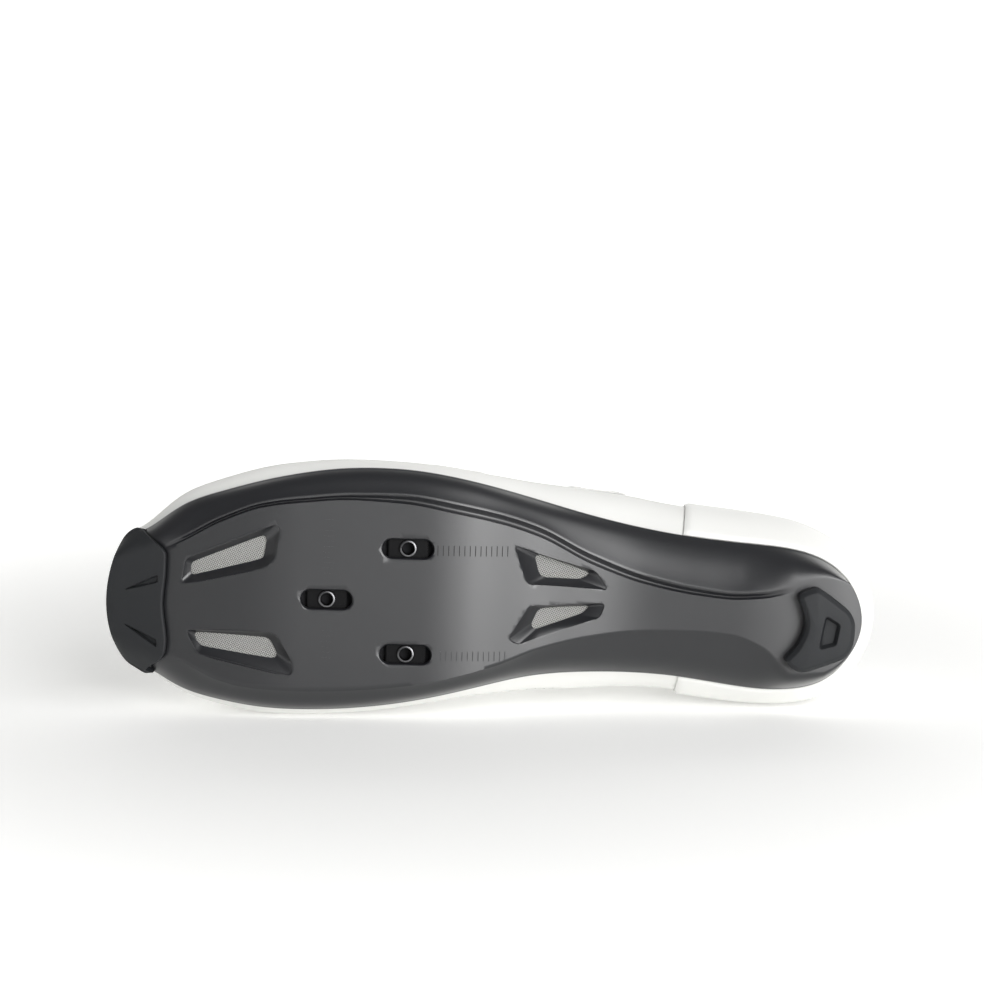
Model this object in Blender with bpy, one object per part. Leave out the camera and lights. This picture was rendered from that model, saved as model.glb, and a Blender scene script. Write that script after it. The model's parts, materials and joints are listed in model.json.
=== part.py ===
"""A left road cycling shoe, lying on its inner side, built as separate pieces.

The shoe is drawn in its own frame first: X from the heel end of the sole to the toe,
Y to the outer (lateral) side, Z up from the plane it would stand on.
At the end all pieces are turned together onto their inner side, so that they rest on Z = 0.
"""
import math

import bmesh
import bpy
import numpy as np
from mathutils import Matrix, Vector

MM = 0.001

# Overall sizes of the last and the sole
SOLE_LENGTH = 269.0 * MM
BALL_OUTER = 50.1 * MM
BALL_INNER = 36.3 * MM
INSTEP_HEIGHT = 86.0 * MM
ARCH_RISE = 11.0 * MM
TOE_SPRING = 17.0 * MM
EDGE_RISE = 9.0 * MM
OVERHANG = 9.0 * MM
SIDE_SWELL = 14.0 * MM

# Thicknesses and clearances
PLATE_THICKNESS = 5.0 * MM
PLATE_EDGE_THICKNESS = 1.6 * MM
UPPER_WALL = 1.8 * MM
COLLAR_WALL = 4.2 * MM
CUP_WALL = 1.2 * MM
STRAP_THICKNESS = 1.6 * MM
TONGUE_THICKNESS = 3.2 * MM
INSOLE_THICKNESS = 3.0 * MM
FIT_GAP = 0.3 * MM
STRAP_GAP = 0.5 * MM
STRAP_ARCH = 1.6 * MM
TONGUE_ARCH = 0.6 * MM
TONGUE_GAP = 0.6 * MM

# Relief on the underside of the plate
GROOVE_WIDTH = 2.7 * MM
GROOVE_DEPTH = 1.2 * MM
GROOVE_LEAN = 0.6
RIDGE_WIDTH = 0.8 * MM

# Cleat slots and the nuts that slide in them
SLOT_LENGTH = 18.0 * MM
SLOT_WIDTH = 6.7 * MM
SLOT_CHAMFER = 0.5 * MM
SLOT_FRONT_X = 190.6 * MM
SLOT_REAR_X = 162.2 * MM
SLOT_LINE_Y = 3.8 * MM
SLOT_REAR_SPREAD = 37.6 * MM
NUT_PLATE_LENGTH = 14.0 * MM
NUT_PLATE_WIDTH = 11.6 * MM
NUT_PLATE_THICKNESS = 1.6 * MM
NUT_COLLAR = 6.0 * MM
NUT_COLLAR_HEIGHT = 1.7 * MM
NUT_THREAD = 4.3 * MM
NUT_TRAVEL = 5.6 * MM
SLOT_LIP = 2.4 * MM

# Vents
VENT_DEPTH = 2.2 * MM
VENT_CORNER = 1.8 * MM
FRONT_VENT_X = 0.8885 * SOLE_LENGTH
REAR_VENT_X = 0.3309 * SOLE_LENGTH

# Rubber pads
TOE_PAD_LENGTH = 21.5 * MM
TOE_PAD_HALF_WIDTH = 25.2 * MM
TOE_PAD_THICKNESS = 2.6 * MM
TOE_PAD_TIP = 1.6 * MM
TOE_PAD_SEAT = 0.2 * MM
TOE_PAD_GAP = 0.6 * MM
TOE_PAD_TUCK = 0.9 * MM
TOE_PAD_RIM = 0.45
TOE_PAD_WRAP = 50.0
TOE_PAD_WRAP_REACH = 7.0 * MM
TOE_PAD_FOCUS = 37.0 * MM
TOE_PAD_FLARE = 2.4 * MM
TOE_NOTCH_DEPTH = 1.5 * MM
TOE_NOTCH_WIDTH = 2.6 * MM
TOE_NOTCH_LENGTH = 12.0 * MM
TOE_NOTCH_REAR = 3.6 * MM
HEEL_PAD_X = 3.2 * MM
HEEL_PAD_LENGTH = 24.6 * MM
HEEL_PAD_WIDTH = 30.6 * MM
HEEL_PAD_SHIFT = -2.6 * MM
HEEL_LIFT = 8.6 * MM
HEEL_PAD_RECESS = 3.0 * MM
PAD_CHAMFER = 1.5 * MM
PAD_CORNER = 2.0 * MM

# Overlays of the upper
CUP_LENGTH = 64.0 * MM
CUP_HEIGHT_SHARE = 0.80
THROAT_END_GAP = 1.5 * MM
INSTEP_STRAP_X = 0.355 * SOLE_LENGTH
FOREFOOT_STRAP_X = 0.543 * SOLE_LENGTH
STRAP_WIDTH = 19.0 * MM
STRAP_SLANT = 14.0 * MM
STRAP_LOW_OUTER = 1.15
STRAP_LOW_INNER = 1.35
TONGUE_RISE = 20.0 * MM
TONGUE_SHARE = 0.385
TONGUE_REACH = 1.80

# Facets
STATIONS = 40
LOW_STEPS = 3
HIGH_STEPS = 8
COLLAR_SIDES = 16
BRIDGE_STEPS = 4

# Outline of the sole: share of the length, outer half and inner half as shares of the ball's
OUTLINE = (
    (0.020, 0.290, 0.430),
    (0.045, 0.400, 0.600),
    (0.097, 0.490, 0.705),
    (0.145, 0.515, 0.700),
    (0.245, 0.565, 0.612),
    (0.346, 0.667, 0.590),
    (0.446, 0.814, 0.647),
    (0.498, 0.892, 0.727),
    (0.546, 0.950, 0.812),
    (0.599, 0.990, 0.897),
    (0.647, 1.000, 0.952),
    (0.699, 0.986, 0.988),
    (0.747, 0.948, 1.000),
    (0.799, 0.886, 0.984),
    (0.848, 0.808, 0.932),
    (0.900, 0.700, 0.835),
    (0.948, 0.520, 0.655),
    (0.970, 0.450, 0.575),
    (0.988, 0.315, 0.400),
)

# Raised centre plate: share of the length, outer edge and inner edge as shares of the ball's,
# and the width of the groove along its outer edge as a share of the full groove
CENTRE_PLATE = (
    (0.00, 0.200, 0.320, 0.45),
    (0.05, 0.250, 0.490, 0.45),
    (0.09, 0.205, 0.500, 0.45),
    (0.13, 0.152, 0.275, 0.45),
    (0.17, 0.136, 0.157, 0.45),
    (0.22, 0.158, 0.130, 0.50),
    (0.29, 0.228, 0.143, 0.85),
    (0.36, 0.360, 0.212, 1.00),
    (0.43, 0.547, 0.350, 1.00),
    (0.48, 0.635, 0.498, 1.00),
    (0.54, 0.705, 0.628, 1.00),
    (0.61, 0.768, 0.746, 0.85),
    (0.68, 0.784, 0.835, 0.55),
    (0.74, 0.758, 0.826, 0.50),
    (0.79, 0.720, 0.810, 0.50),
    (0.85, 0.600, 0.722, 0.50),
    (0.90, 0.450, 0.560, 0.50),
    (1.00, 0.200, 0.300, 0.50),
)

# Height of the plate's underside: share of the length, then shares of the
# heel lift, the arch rise and the toe spring
PROFILE = (
    (0.00, 1.10, 0.00, 0.00),
    (0.05, 1.02, 0.00, 0.00),
    (0.11, 1.00, 0.00, 0.00),
    (0.22, 0.70, 0.38, 0.00),
    (0.33, 0.20, 0.84, 0.00),
    (0.42, 0.00, 0.72, 0.00),
    (0.50, 0.00, 0.20, 0.00),
    (0.555, 0.00, 0.00, 0.00),
    (0.775, 0.00, 0.00, 0.00),
    (0.80, 0.00, 0.00, 0.03),
    (0.85, 0.00, 0.00, 0.15),
    (0.90, 0.00, 0.00, 0.35),
    (0.95, 0.00, 0.00, 0.63),
    (1.00, 0.00, 0.00, 1.00),
)

# Roll of the plate's edge: share of the length, share of the edge rise
EDGE_ROLL = ((0.00, 0.85), (0.10, 1.00), (0.40, 1.00), (0.55, 0.80), (0.80, 0.72), (1.00, 0.45))

# How far the upper swells past the sole: share of the length, outer and inner
# side as shares of the overhang, and the height of the swell's crest
SWELL = (
    (0.00, 0.60, 0.60, 1.10),
    (0.05, 0.72, 0.66, 1.10),
    (0.10, 0.88, 0.68, 1.10),
    (0.20, 1.02, 0.78, 1.10),
    (0.30, 1.02, 0.82, 1.05),
    (0.38, 0.80, 0.90, 1.00),
    (0.46, 0.46, 0.72, 0.90),
    (0.54, 0.28, 0.42, 0.75),
    (0.62, 0.25, 0.33, 0.60),
    (0.72, 0.37, 0.35, 0.55),
    (0.80, 0.48, 0.38, 0.55),
    (0.88, 0.42, 0.32, 0.52),
    (0.95, 0.20, 0.16, 0.45),
    (1.00, 0.04, 0.04, 0.40),
)

# Where each rib of the upper ends at the collar, throat or ridge. Columns: share of the
# length at the rib's foot and at its top, outer and inner offset as shares of the outer
# ball, height as a share of the instep height, and the turn of the rib's arc in degrees
RIB_TOPS = (
    (0.000, -0.004, 0.000, 0.000, 0.895, 28.0),
    (0.040, 0.022, 0.290, 0.290, 0.870, 28.0),
    (0.100, 0.080, 0.500, 0.490, 0.790, 30.0),
    (0.180, 0.170, 0.560, 0.540, 0.735, 34.0),
    (0.260, 0.250, 0.540, 0.520, 0.800, 42.0),
    (0.320, 0.305, 0.430, 0.410, 0.925, 56.0),
    (0.365, 0.350, 0.320, 0.300, 0.970, 66.0),
    (0.440, 0.425, 0.250, 0.235, 0.905, 72.0),
    (0.540, 0.522, 0.205, 0.185, 0.810, 76.0),
    (0.640, 0.615, 0.160, 0.140, 0.715, 80.0),
    (0.700, 0.668, 0.100, 0.090, 0.665, 84.0),
    (0.740, 0.700, 0.000, 0.000, 0.636, 90.0),
    (0.800, 0.740, 0.000, 0.000, 0.602, 90.0),
    (0.880, 0.795, 0.000, 0.000, 0.552, 90.0),
    (0.960, 0.842, 0.000, 0.000, 0.508, 90.0),
    (1.000, 0.862, 0.000, 0.000, 0.488, 90.0),
)

# Sideways place of the ridge that the ribs lean to, as a share of the outer ball
RIDGE_LINE = ((0.00, 0.00), (0.25, 0.05), (0.45, 0.09), (0.65, 0.09), (0.80, 0.05), (1.00, 0.00))

# Vent outlines, as (steps from the vent's datum, place across) in millimetres: the mouth
# of the vent and the opening at its bottom, corner for corner. The front vents count back
# from their front edge and the rear ones forward from their rear edge.
FRONT_OUTER_MOUTH = ((3.4, 7.5), (2.2, 16.2), (-29.6, 29.8), (-31.2, 28.4), (-29.8, 18.6), (-26.6, 14.9))
FRONT_OUTER_OPENING = ((0.3, 10.3), (0.3, 15.0), (-25.2, 25.8), (-26.8, 24.9), (-25.8, 18.1), (-24.5, 17.2))
FRONT_INNER_MOUTH = (
    (0.7, -9.0), (1.0, -10.2), (-2.8, -17.0), (-36.6, -23.6), (-36.8, -19.2), (-31.2, -9.8), (-28.4, -8.5),
)
FRONT_INNER_OPENING = (
    (-1.4, -9.7), (-2.0, -12.9), (-4.2, -14.7), (-30.0, -18.0), (-31.6, -16.6), (-28.8, -11.3),
    (-27.0, -10.4),
)
REAR_OUTER_MOUTH = ((1.9, 9.0), (30.3, 10.6), (32.7, 16.8), (35.3, 24.2), (31.4, 22.9), (6.6, 15.5))
REAR_OUTER_OPENING = ((11.5, 12.4), (25.4, 12.9), (26.8, 14.9), (28.3, 20.6), (25.4, 21.2), (8.0, 14.7))
REAR_INNER_MOUTH = ((2.7, 4.0), (4.6, -1.0), (33.4, -10.9), (36.8, -8.9), (29.6, 2.6), (18.7, 3.1))
REAR_INNER_OPENING = ((8.0, 3.0), (10.6, 0.2), (27.6, -5.9), (29.0, -4.2), (26.3, 1.8), (18.7, 2.4))

# Heel pad outline: shares of the pad's length from its rear, and of its width from its middle
HEEL_PAD_OUTLINE = (
    (0.84, 0.40), (0.72, 0.46), (0.55, 0.505), (0.30, 0.37), (0.07, 0.23), (0.00, 0.11),
    (0.00, -0.06), (0.03, -0.20), (0.14, -0.32), (0.42, -0.41), (0.71, -0.495), (0.84, -0.48),
    (0.98, -0.39), (0.99, -0.33), (0.83, -0.20), (0.73, -0.03), (0.71, 0.10), (0.76, 0.25),
)
HEEL_RECESS_OUTLINE = ((0.42, 0.17), (0.23, 0.08), (0.28, -0.15), (0.50, -0.20), (0.46, 0.01))

# Rear edge of the toe pad: place across as a share of its half width, and
# distance behind the pad's longest corner as a share of the pad's length
TOE_PAD_REAR = (
    (-1.0, 0.40), (-0.70, 0.02), (-0.55, 0.00), (0.0, 0.07), (0.50, 0.03), (0.68, 0.03), (1.0, 0.44),
)

# Top of the tongue, where it leaves the throat: narrowing, and steps back and up as shares of its rise
TONGUE_TOP = ((0.60, 0.30, 0.08), (0.72, 0.64, 0.50), (0.80, 0.92, 1.00))

# Notches of the toe pad: place across at the front and at the rear, as shares of its half width
TOE_NOTCHES = ((0.16, 0.35), (-0.33, -0.57))


def smooth_between(xs, ys, x):
    """Value at x of a smooth curve through the points, with no overshoot between them."""
    xs = np.asarray(xs, float)
    ys = np.asarray(ys, float)
    steps = np.diff(xs)
    slopes = np.diff(ys) / steps
    tangents = np.zeros(len(xs))
    tangents[0] = slopes[0]
    tangents[-1] = slopes[-1]
    for i in range(1, len(xs) - 1):
        if slopes[i - 1] * slopes[i] > 0.0:
            before = 2.0 * steps[i] + steps[i - 1]
            after = steps[i] + 2.0 * steps[i - 1]
            tangents[i] = (before + after) / (before / slopes[i - 1] + after / slopes[i])
    x = min(max(x, xs[0]), xs[-1])
    i = min(int(np.searchsorted(xs, x, side="right")) - 1, len(xs) - 2)
    t = (x - xs[i]) / steps[i]
    rise = t * t * (3.0 - 2.0 * t)
    lead = t * (1.0 - t) ** 2 * tangents[i] * steps[i]
    trail = t * t * (t - 1.0) * tangents[i + 1] * steps[i]
    return float(ys[i] + (ys[i + 1] - ys[i]) * rise + lead + trail)


def column(table, index, share):
    """Value of one column of a table at a share of the length."""
    return smooth_between([row[0] for row in table], [row[index] for row in table], share)


def share_at(turn):
    """Share of the length at a turn from 0 at the heel to 1 at the toe."""
    return 0.5 * (1.0 - math.cos(math.pi * turn))


def turn_at(share):
    """Turn from 0 to 1 at a share of the length."""
    return math.acos(1.0 - 2.0 * min(max(share, 0.0), 1.0)) / math.pi


def closed_curve(turns, values):
    """Coefficients of a smooth closed curve that repeats every two turns."""
    count = len(turns)
    gaps = np.diff(np.append(turns, turns[0] + 2.0))
    matrix = np.zeros((count, count))
    right = np.zeros(count)
    for i in range(count):
        before = gaps[i - 1]
        after = gaps[i]
        ahead = values[(i + 1) % count] - values[i]
        behind = values[i] - values[i - 1]
        matrix[i, i - 1] += before
        matrix[i, i] += 2.0 * (before + after)
        matrix[i, (i + 1) % count] += after
        right[i] = 6.0 * (ahead / after - behind / before)
    return gaps, np.linalg.solve(matrix, right)


OUTLINE_TURNS = np.array(
    [0.0]
    + [turn_at(row[0]) for row in OUTLINE]
    + [1.0]
    + [2.0 - turn_at(row[0]) for row in reversed(OUTLINE)]
)
OUTLINE_WIDTHS = np.array(
    [0.0]
    + [row[1] * BALL_OUTER for row in OUTLINE]
    + [0.0]
    + [-row[2] * BALL_INNER for row in reversed(OUTLINE)]
)
OUTLINE_GAPS, OUTLINE_BENDS = closed_curve(OUTLINE_TURNS, OUTLINE_WIDTHS)


def edge_y(turn):
    """Sideways place of the sole's edge; turns 0 to 1 run up the outer side, 1 to 2 back down."""
    turn = turn % 2.0
    i = int(np.searchsorted(OUTLINE_TURNS, turn, side="right")) - 1
    gap = OUTLINE_GAPS[i]
    after = (i + 1) % len(OUTLINE_TURNS)
    t = (turn - OUTLINE_TURNS[i]) / gap
    line = OUTLINE_WIDTHS[i] * (1.0 - t) + OUTLINE_WIDTHS[after] * t
    bend = (((1.0 - t) ** 3 - (1.0 - t)) * OUTLINE_BENDS[i] + (t ** 3 - t) * OUTLINE_BENDS[after])
    return float(line + gap * gap / 6.0 * bend)


def edge_x(turn):
    """Place of the sole's edge along the shoe."""
    return SOLE_LENGTH * share_at(turn % 2.0)


def outward(turn):
    """Direction in which the sole's edge faces, as seen from above."""
    step = 0.002
    along_x = edge_x(turn + step) - edge_x(turn - step)
    along_y = edge_y(turn + step) - edge_y(turn - step)
    size = math.hypot(along_x, along_y)
    return np.array((-along_y / size, along_x / size))


def half_width(share, side):
    """Width of the sole from the axis to its edge, on the outer (1) or inner (-1) side."""
    turn = turn_at(share)
    return abs(edge_y(turn if side > 0 else 2.0 - turn))


def plate_edge(share, side):
    """Distance of the raised centre plate's edge from the axis."""
    size = BALL_OUTER if side > 0 else BALL_INNER
    limit = 0.80 * half_width(share, side)
    return min(column(CENTRE_PLATE, 1 if side > 0 else 2, share) * size, limit)


def base_height(share):
    """Height of the plate's underside on the axis."""
    heel = column(PROFILE, 1, share) * HEEL_LIFT
    arch = column(PROFILE, 2, share) * ARCH_RISE
    return heel + arch + column(PROFILE, 3, share) * TOE_SPRING


def edge_roll(share):
    """Height of the rolled edge over the underside on the axis."""
    return column(EDGE_ROLL, 1, share) * EDGE_RISE


def relief_fade(share):
    """1 along the middle of the shoe, 0 at the ends where the groove runs out."""
    rear = min(max((share - 0.09) / 0.07, 0.0), 1.0)
    front = min(max((0.93 - share) / 0.06, 0.0), 1.0)
    return rear * rear * (3.0 - 2.0 * rear) * front * front * (3.0 - 2.0 * front)


def relief_places(share, side):
    """Distances from the axis of the centre plate's edge, the end of the groove beside it and
    the crest from which the flank falls away. On the inner side all three are the edge."""
    edge = plate_edge(share, side)
    if side < 0:
        return edge, edge, edge
    groove = edge + column(CENTRE_PLATE, 3, share) * GROOVE_WIDTH
    return edge, groove, groove + RIDGE_WIDTH


def underside(x, y):
    """Height of the plate's underside at a place in the shoe's frame."""
    share = min(max(x / SOLE_LENGTH, 0.0), 1.0)
    side = 1 if y >= 0.0 else -1
    half = half_width(share, side)
    edge, groove, crest = relief_places(share, side)
    height = base_height(share)
    if edge < abs(y) < groove:
        dip = math.sin(math.pi * ((abs(y) - edge) / (groove - edge)) ** GROOVE_LEAN)
        return height + GROOVE_DEPTH * dip * relief_fade(share)
    if abs(y) > crest and half > crest:
        flank = min((abs(y) - crest) / (half - crest), 1.0)
        fade = relief_fade(share)
        scooped = 0.42 * (1.0 - (1.0 - flank) ** 2) + 0.58 * flank ** 4
        height += edge_roll(share) * (fade * scooped + (1.0 - fade) * flank ** 2.5)
    elif abs(y) > crest:
        height += edge_roll(share) * min((abs(y) - crest) / MM, 1.0)
    return height


def footbed(x, y):
    """Height of the plate's upper face."""
    share = min(max(x / SOLE_LENGTH, 0.0), 1.0)
    half = max(half_width(share, 1 if y >= 0.0 else -1), MM)
    reach = min(abs(y) / half, 1.0)
    centre = base_height(share) + PLATE_THICKNESS
    rim = edge_roll(share) + PLATE_EDGE_THICKNESS - PLATE_THICKNESS
    return centre + rim * reach ** 4


def rib(turn, along):
    """Point on the upper's outer face; along runs 0 to 1 from the sole to the swell's crest,
    then 1 to 2 from there to the collar, throat or ridge."""
    turn = turn % 2.0
    share = share_at(turn)
    outer = turn <= 1.0
    face = outward(turn)
    foot_x = edge_x(turn)
    foot_y = edge_y(turn)
    foot_z = base_height(share) + edge_roll(share) + PLATE_EDGE_THICKNESS + FIT_GAP
    swell = column(SWELL, 1 if outer else 2, share) * OVERHANG
    crest_z = foot_z + column(SWELL, 3, share) * SIDE_SWELL
    if along <= 1.0:
        out = swell * math.sin(0.5 * math.pi * along)
        rise = (crest_z - foot_z) * along
        return np.array((foot_x + face[0] * out, foot_y + face[1] * out, foot_z + rise))
    step = along - 1.0
    arc = math.radians(column(RIB_TOPS, 5, share))
    lean = (1.0 - math.cos(arc * step)) / (1.0 - math.cos(arc))
    climb = math.sin(arc * step) / math.sin(arc)
    top_share = column(RIB_TOPS, 1, share)
    top_x = top_share * SOLE_LENGTH
    offset = column(RIB_TOPS, 2 if outer else 3, share) * BALL_OUTER
    top_y = column(RIDGE_LINE, 1, max(top_share, 0.0)) * BALL_OUTER + (offset if outer else -offset)
    top_z = column(RIB_TOPS, 4, share) * INSTEP_HEIGHT
    crest_x = foot_x + face[0] * swell
    crest_y = foot_y + face[1] * swell
    return np.array((
        crest_x + (top_x - crest_x) * lean,
        crest_y + (top_y - crest_y) * lean,
        crest_z + (top_z - crest_z) * climb,
    ))


def rib_normal(turn, along):
    """Direction in which the upper's outer face looks at a point."""
    step = 0.004
    low = max(along - step, 0.0)
    high = min(along + step, 2.0)
    level = min(along, 1.97)
    across = rib(turn + step, level) - rib(turn - step, level)
    upward = rib(turn, high) - rib(turn, low)
    normal = np.cross(upward, across)
    return normal / np.linalg.norm(normal)


def rib_offset(turn, along, distance):
    """Point at a distance outside the upper's outer face."""
    return rib(turn, along) + rib_normal(turn, along) * distance


def rib_steps(low, high):
    """Places along a rib from low to high, at the same steps as the upper's own facets."""
    own = [i / LOW_STEPS for i in range(LOW_STEPS)]
    own += [1.0 + i / HIGH_STEPS for i in range(HIGH_STEPS + 1)]
    inner = [value for value in own if low + 0.02 < value < high - 0.02]
    return [low] + inner + [high]


def station_turns(low, high):
    """Turns from low to high, at the same stations as the upper's own facets."""
    own = [i / STATIONS for i in range(2 * STATIONS + 1)]
    inner = [value for value in own if low + 0.25 / STATIONS < value < high - 0.25 / STATIONS]
    return [low] + inner + [high]


def make_material(name, colour, roughness, metallic=0.0):
    material = bpy.data.materials.new(name)
    material.use_nodes = True
    shader = material.node_tree.nodes["Principled BSDF"]
    shader.inputs["Base Color"].default_value = (*colour, 1.0)
    shader.inputs["Roughness"].default_value = roughness
    shader.inputs["Metallic"].default_value = metallic
    return material


def add_object(name, vertices, faces, material=None):
    """New object from vertices and faces, with its faces turned outward."""
    mesh = bpy.data.meshes.new(name)
    mesh.from_pydata([tuple(float(value) for value in point) for point in vertices], [], faces)
    shape = bmesh.new()
    shape.from_mesh(mesh)
    bmesh.ops.remove_doubles(shape, verts=shape.verts, dist=0.01 * MM)
    bmesh.ops.recalc_face_normals(shape, faces=shape.faces)
    shape.to_mesh(mesh)
    shape.free()
    thing = bpy.data.objects.new(name, mesh)
    bpy.context.scene.collection.objects.link(thing)
    if material is not None:
        mesh.materials.append(material)
    return thing


def smooth_shading(thing, angle=40.0):
    thing.data.shade_smooth()
    thing.data.set_sharp_from_angle(angle=math.radians(angle))


def grid_faces(rows, columns, start=0, closed=False):
    """Faces of a grid of points kept row by row."""
    faces = []
    last = columns if closed else columns - 1
    for i in range(rows - 1):
        for j in range(last):
            after = (j + 1) % columns
            faces.append((
                start + i * columns + j,
                start + i * columns + after,
                start + (i + 1) * columns + after,
                start + (i + 1) * columns + j,
            ))
    return faces


def slab(name, lower, upper, material):
    """Closed solid between two grids of points of the same size."""
    rows = len(lower)
    columns = len(lower[0])
    vertices = [point for row in lower for point in row] + [point for row in upper for point in row]
    shift = rows * columns
    faces = grid_faces(rows, columns) + grid_faces(rows, columns, shift)
    border = [(0, j) for j in range(columns)]
    border += [(i, columns - 1) for i in range(1, rows)]
    border += [(rows - 1, j) for j in range(columns - 2, -1, -1)]
    border += [(i, 0) for i in range(rows - 2, 0, -1)]
    for index, (i, j) in enumerate(border):
        k, m = border[(index + 1) % len(border)]
        here = i * columns + j
        there = k * columns + m
        faces.append((here, there, shift + there, shift + here))
    return add_object(name, vertices, faces, material)


def prism(name, outline, bottom, top, top_grow=0.0):
    """Cutter with straight or sloping sides over an outline; top_grow moves its top edge outward."""
    points = [np.array(point) for point in outline]
    middle = sum(points) / len(points)
    lower = [(*point, bottom) for point in points]
    upper = []
    for point in points:
        away = point - middle
        grown = point + away / np.linalg.norm(away) * top_grow
        upper.append((*grown, top))
    count = len(points)
    faces = [tuple(range(count)), tuple(range(2 * count - 1, count - 1, -1))]
    for i in range(count):
        after = (i + 1) % count
        faces.append((i, after, count + after, count + i))
    cutter = add_object(name, lower + upper, faces)
    cutter.hide_render = True
    cutter.display_type = "WIRE"
    return cutter


def loft(name, low_outline, low_z, high_outline, high_z):
    """Cutter between two outlines with the same number of points."""
    count = len(low_outline)
    vertices = [(*point, low_z) for point in low_outline] + [(*point, high_z) for point in high_outline]
    faces = [tuple(range(count)), tuple(range(2 * count - 1, count - 1, -1))]
    for i in range(count):
        after = (i + 1) % count
        faces.append((i, after, count + after, count + i))
    cutter = add_object(name, vertices, faces)
    cutter.hide_render = True
    cutter.display_type = "WIRE"
    return cutter


def cut(target, cutter):
    """Take the cutter out of the target with a Boolean that stays on the object."""
    modifier = target.modifiers.new(cutter.name, "BOOLEAN")
    modifier.operation = "DIFFERENCE"
    modifier.solver = "EXACT"
    modifier.object = cutter


def stadium(centre, length, width, sides=6):
    """Outline of a slot with round ends, along X."""
    radius = 0.5 * width
    reach = 0.5 * length - radius
    points = []
    for end, start in ((1.0, -90.0), (-1.0, 90.0)):
        for i in range(sides + 1):
            angle = math.radians(start + 180.0 * i / sides)
            points.append((
                centre[0] + end * reach + radius * math.cos(angle),
                centre[1] + radius * math.sin(angle),
            ))
    return points


def vent_outline(rows, datum):
    return [(datum + step * MM, across * MM) for step, across in rows]


def vent_cutter(name, mouth, opening):
    """Cutter with walls that slope from the mouth at the underside to the opening inside."""
    rings = [[(*point, -HEEL_LIFT) for point in mouth]]
    rings.append([(*point, underside(*point)) for point in mouth])
    rings.append([(*point, underside(*point) + VENT_DEPTH) for point in opening])
    rings.append([(*point, underside(*point) + 3.0 * PLATE_THICKNESS) for point in opening])
    count = len(mouth)
    faces = grid_faces(len(rings), count, 0, True)
    faces.append(tuple(range(count)))
    high = [len(rings) * count - count + i for i in range(count)]
    centre = len(rings) * count
    middle = np.mean(rings[-1], axis=0)
    faces += [(high[i], high[(i + 1) % count], centre) for i in range(count)]
    cutter = add_object(name, [point for ring in rings for point in ring] + [middle], faces)
    cutter.hide_render = True
    cutter.display_type = "WIRE"
    return cutter


def rounded(points, radius, steps=2):
    """Outline with each corner cut back by up to the radius and rounded over."""
    count = len(points)
    finer = []
    for i in range(count):
        corner = np.array(points[i])
        before = np.array(points[i - 1]) - corner
        after = np.array(points[(i + 1) % count]) - corner
        start = corner + before * min(radius / np.linalg.norm(before), 0.4)
        finish = corner + after * min(radius / np.linalg.norm(after), 0.4)
        for k in range(steps + 1):
            t = k / steps
            finer.append(tuple(start * (1.0 - t) ** 2 + corner * 2.0 * t * (1.0 - t) + finish * t * t))
    return finer


for old in list(bpy.data.objects):
    bpy.data.objects.remove(old, do_unlink=True)

COMPOSITE = make_material("composite", (0.045, 0.045, 0.048), 0.42)
RUBBER = make_material("rubber", (0.022, 0.023, 0.025), 0.62)
STEEL = make_material("blackened_steel", (0.02, 0.02, 0.02), 0.35, 0.9)
UPPER_SHEET = make_material("coated_microfibre", (0.86, 0.86, 0.85), 0.5)
CUP_SHELL = make_material("cup_shell", (0.88, 0.88, 0.87), 0.4)
LINING = make_material("lining", (0.55, 0.55, 0.55), 0.9)
FOAM = make_material("foam", (0.12, 0.12, 0.13), 0.95)


def sole_rows(height, lines):
    """Rows of points from heel to toe, each from the inner edge to the outer edge."""
    rows = []
    for j in range(1, STATIONS):
        turn = j / STATIONS
        x = edge_x(turn)
        row = []
        for y in lines(share_at(turn)):
            row.append(np.array((x, y, height(x, y))))
        rows.append(row)
    return rows


def under_lines(share):
    """Places across the underside: plate, groove and ridge on the outer side, and both flanks."""
    sides = []
    for side in (-1, 1):
        half = half_width(share, side)
        edge, groove, crest = relief_places(share, side)
        places = [0.5 * edge, edge]
        if side > 0:
            crest = min(crest, 0.90 * half)
            groove = min(groove, 0.5 * (edge + crest))
            places += [edge + (groove - edge) * part for part in (0.32, 0.7, 1.0)] + [crest]
        for flank in (0.2, 0.45, 0.7, 0.87, 1.0):
            places.append(crest + (half - crest) * flank)
        sides.append([side * place for place in places])
    return list(reversed(sides[0])) + [0.0] + sides[1]


def top_lines(share):
    """Places across the footbed."""
    inner = half_width(share, -1)
    outer = half_width(share, 1)
    shares = (1.0, 0.93, 0.82, 0.66, 0.4)
    return [-inner * part for part in shares] + [0.0] + [outer * part for part in reversed(shares)]


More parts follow.
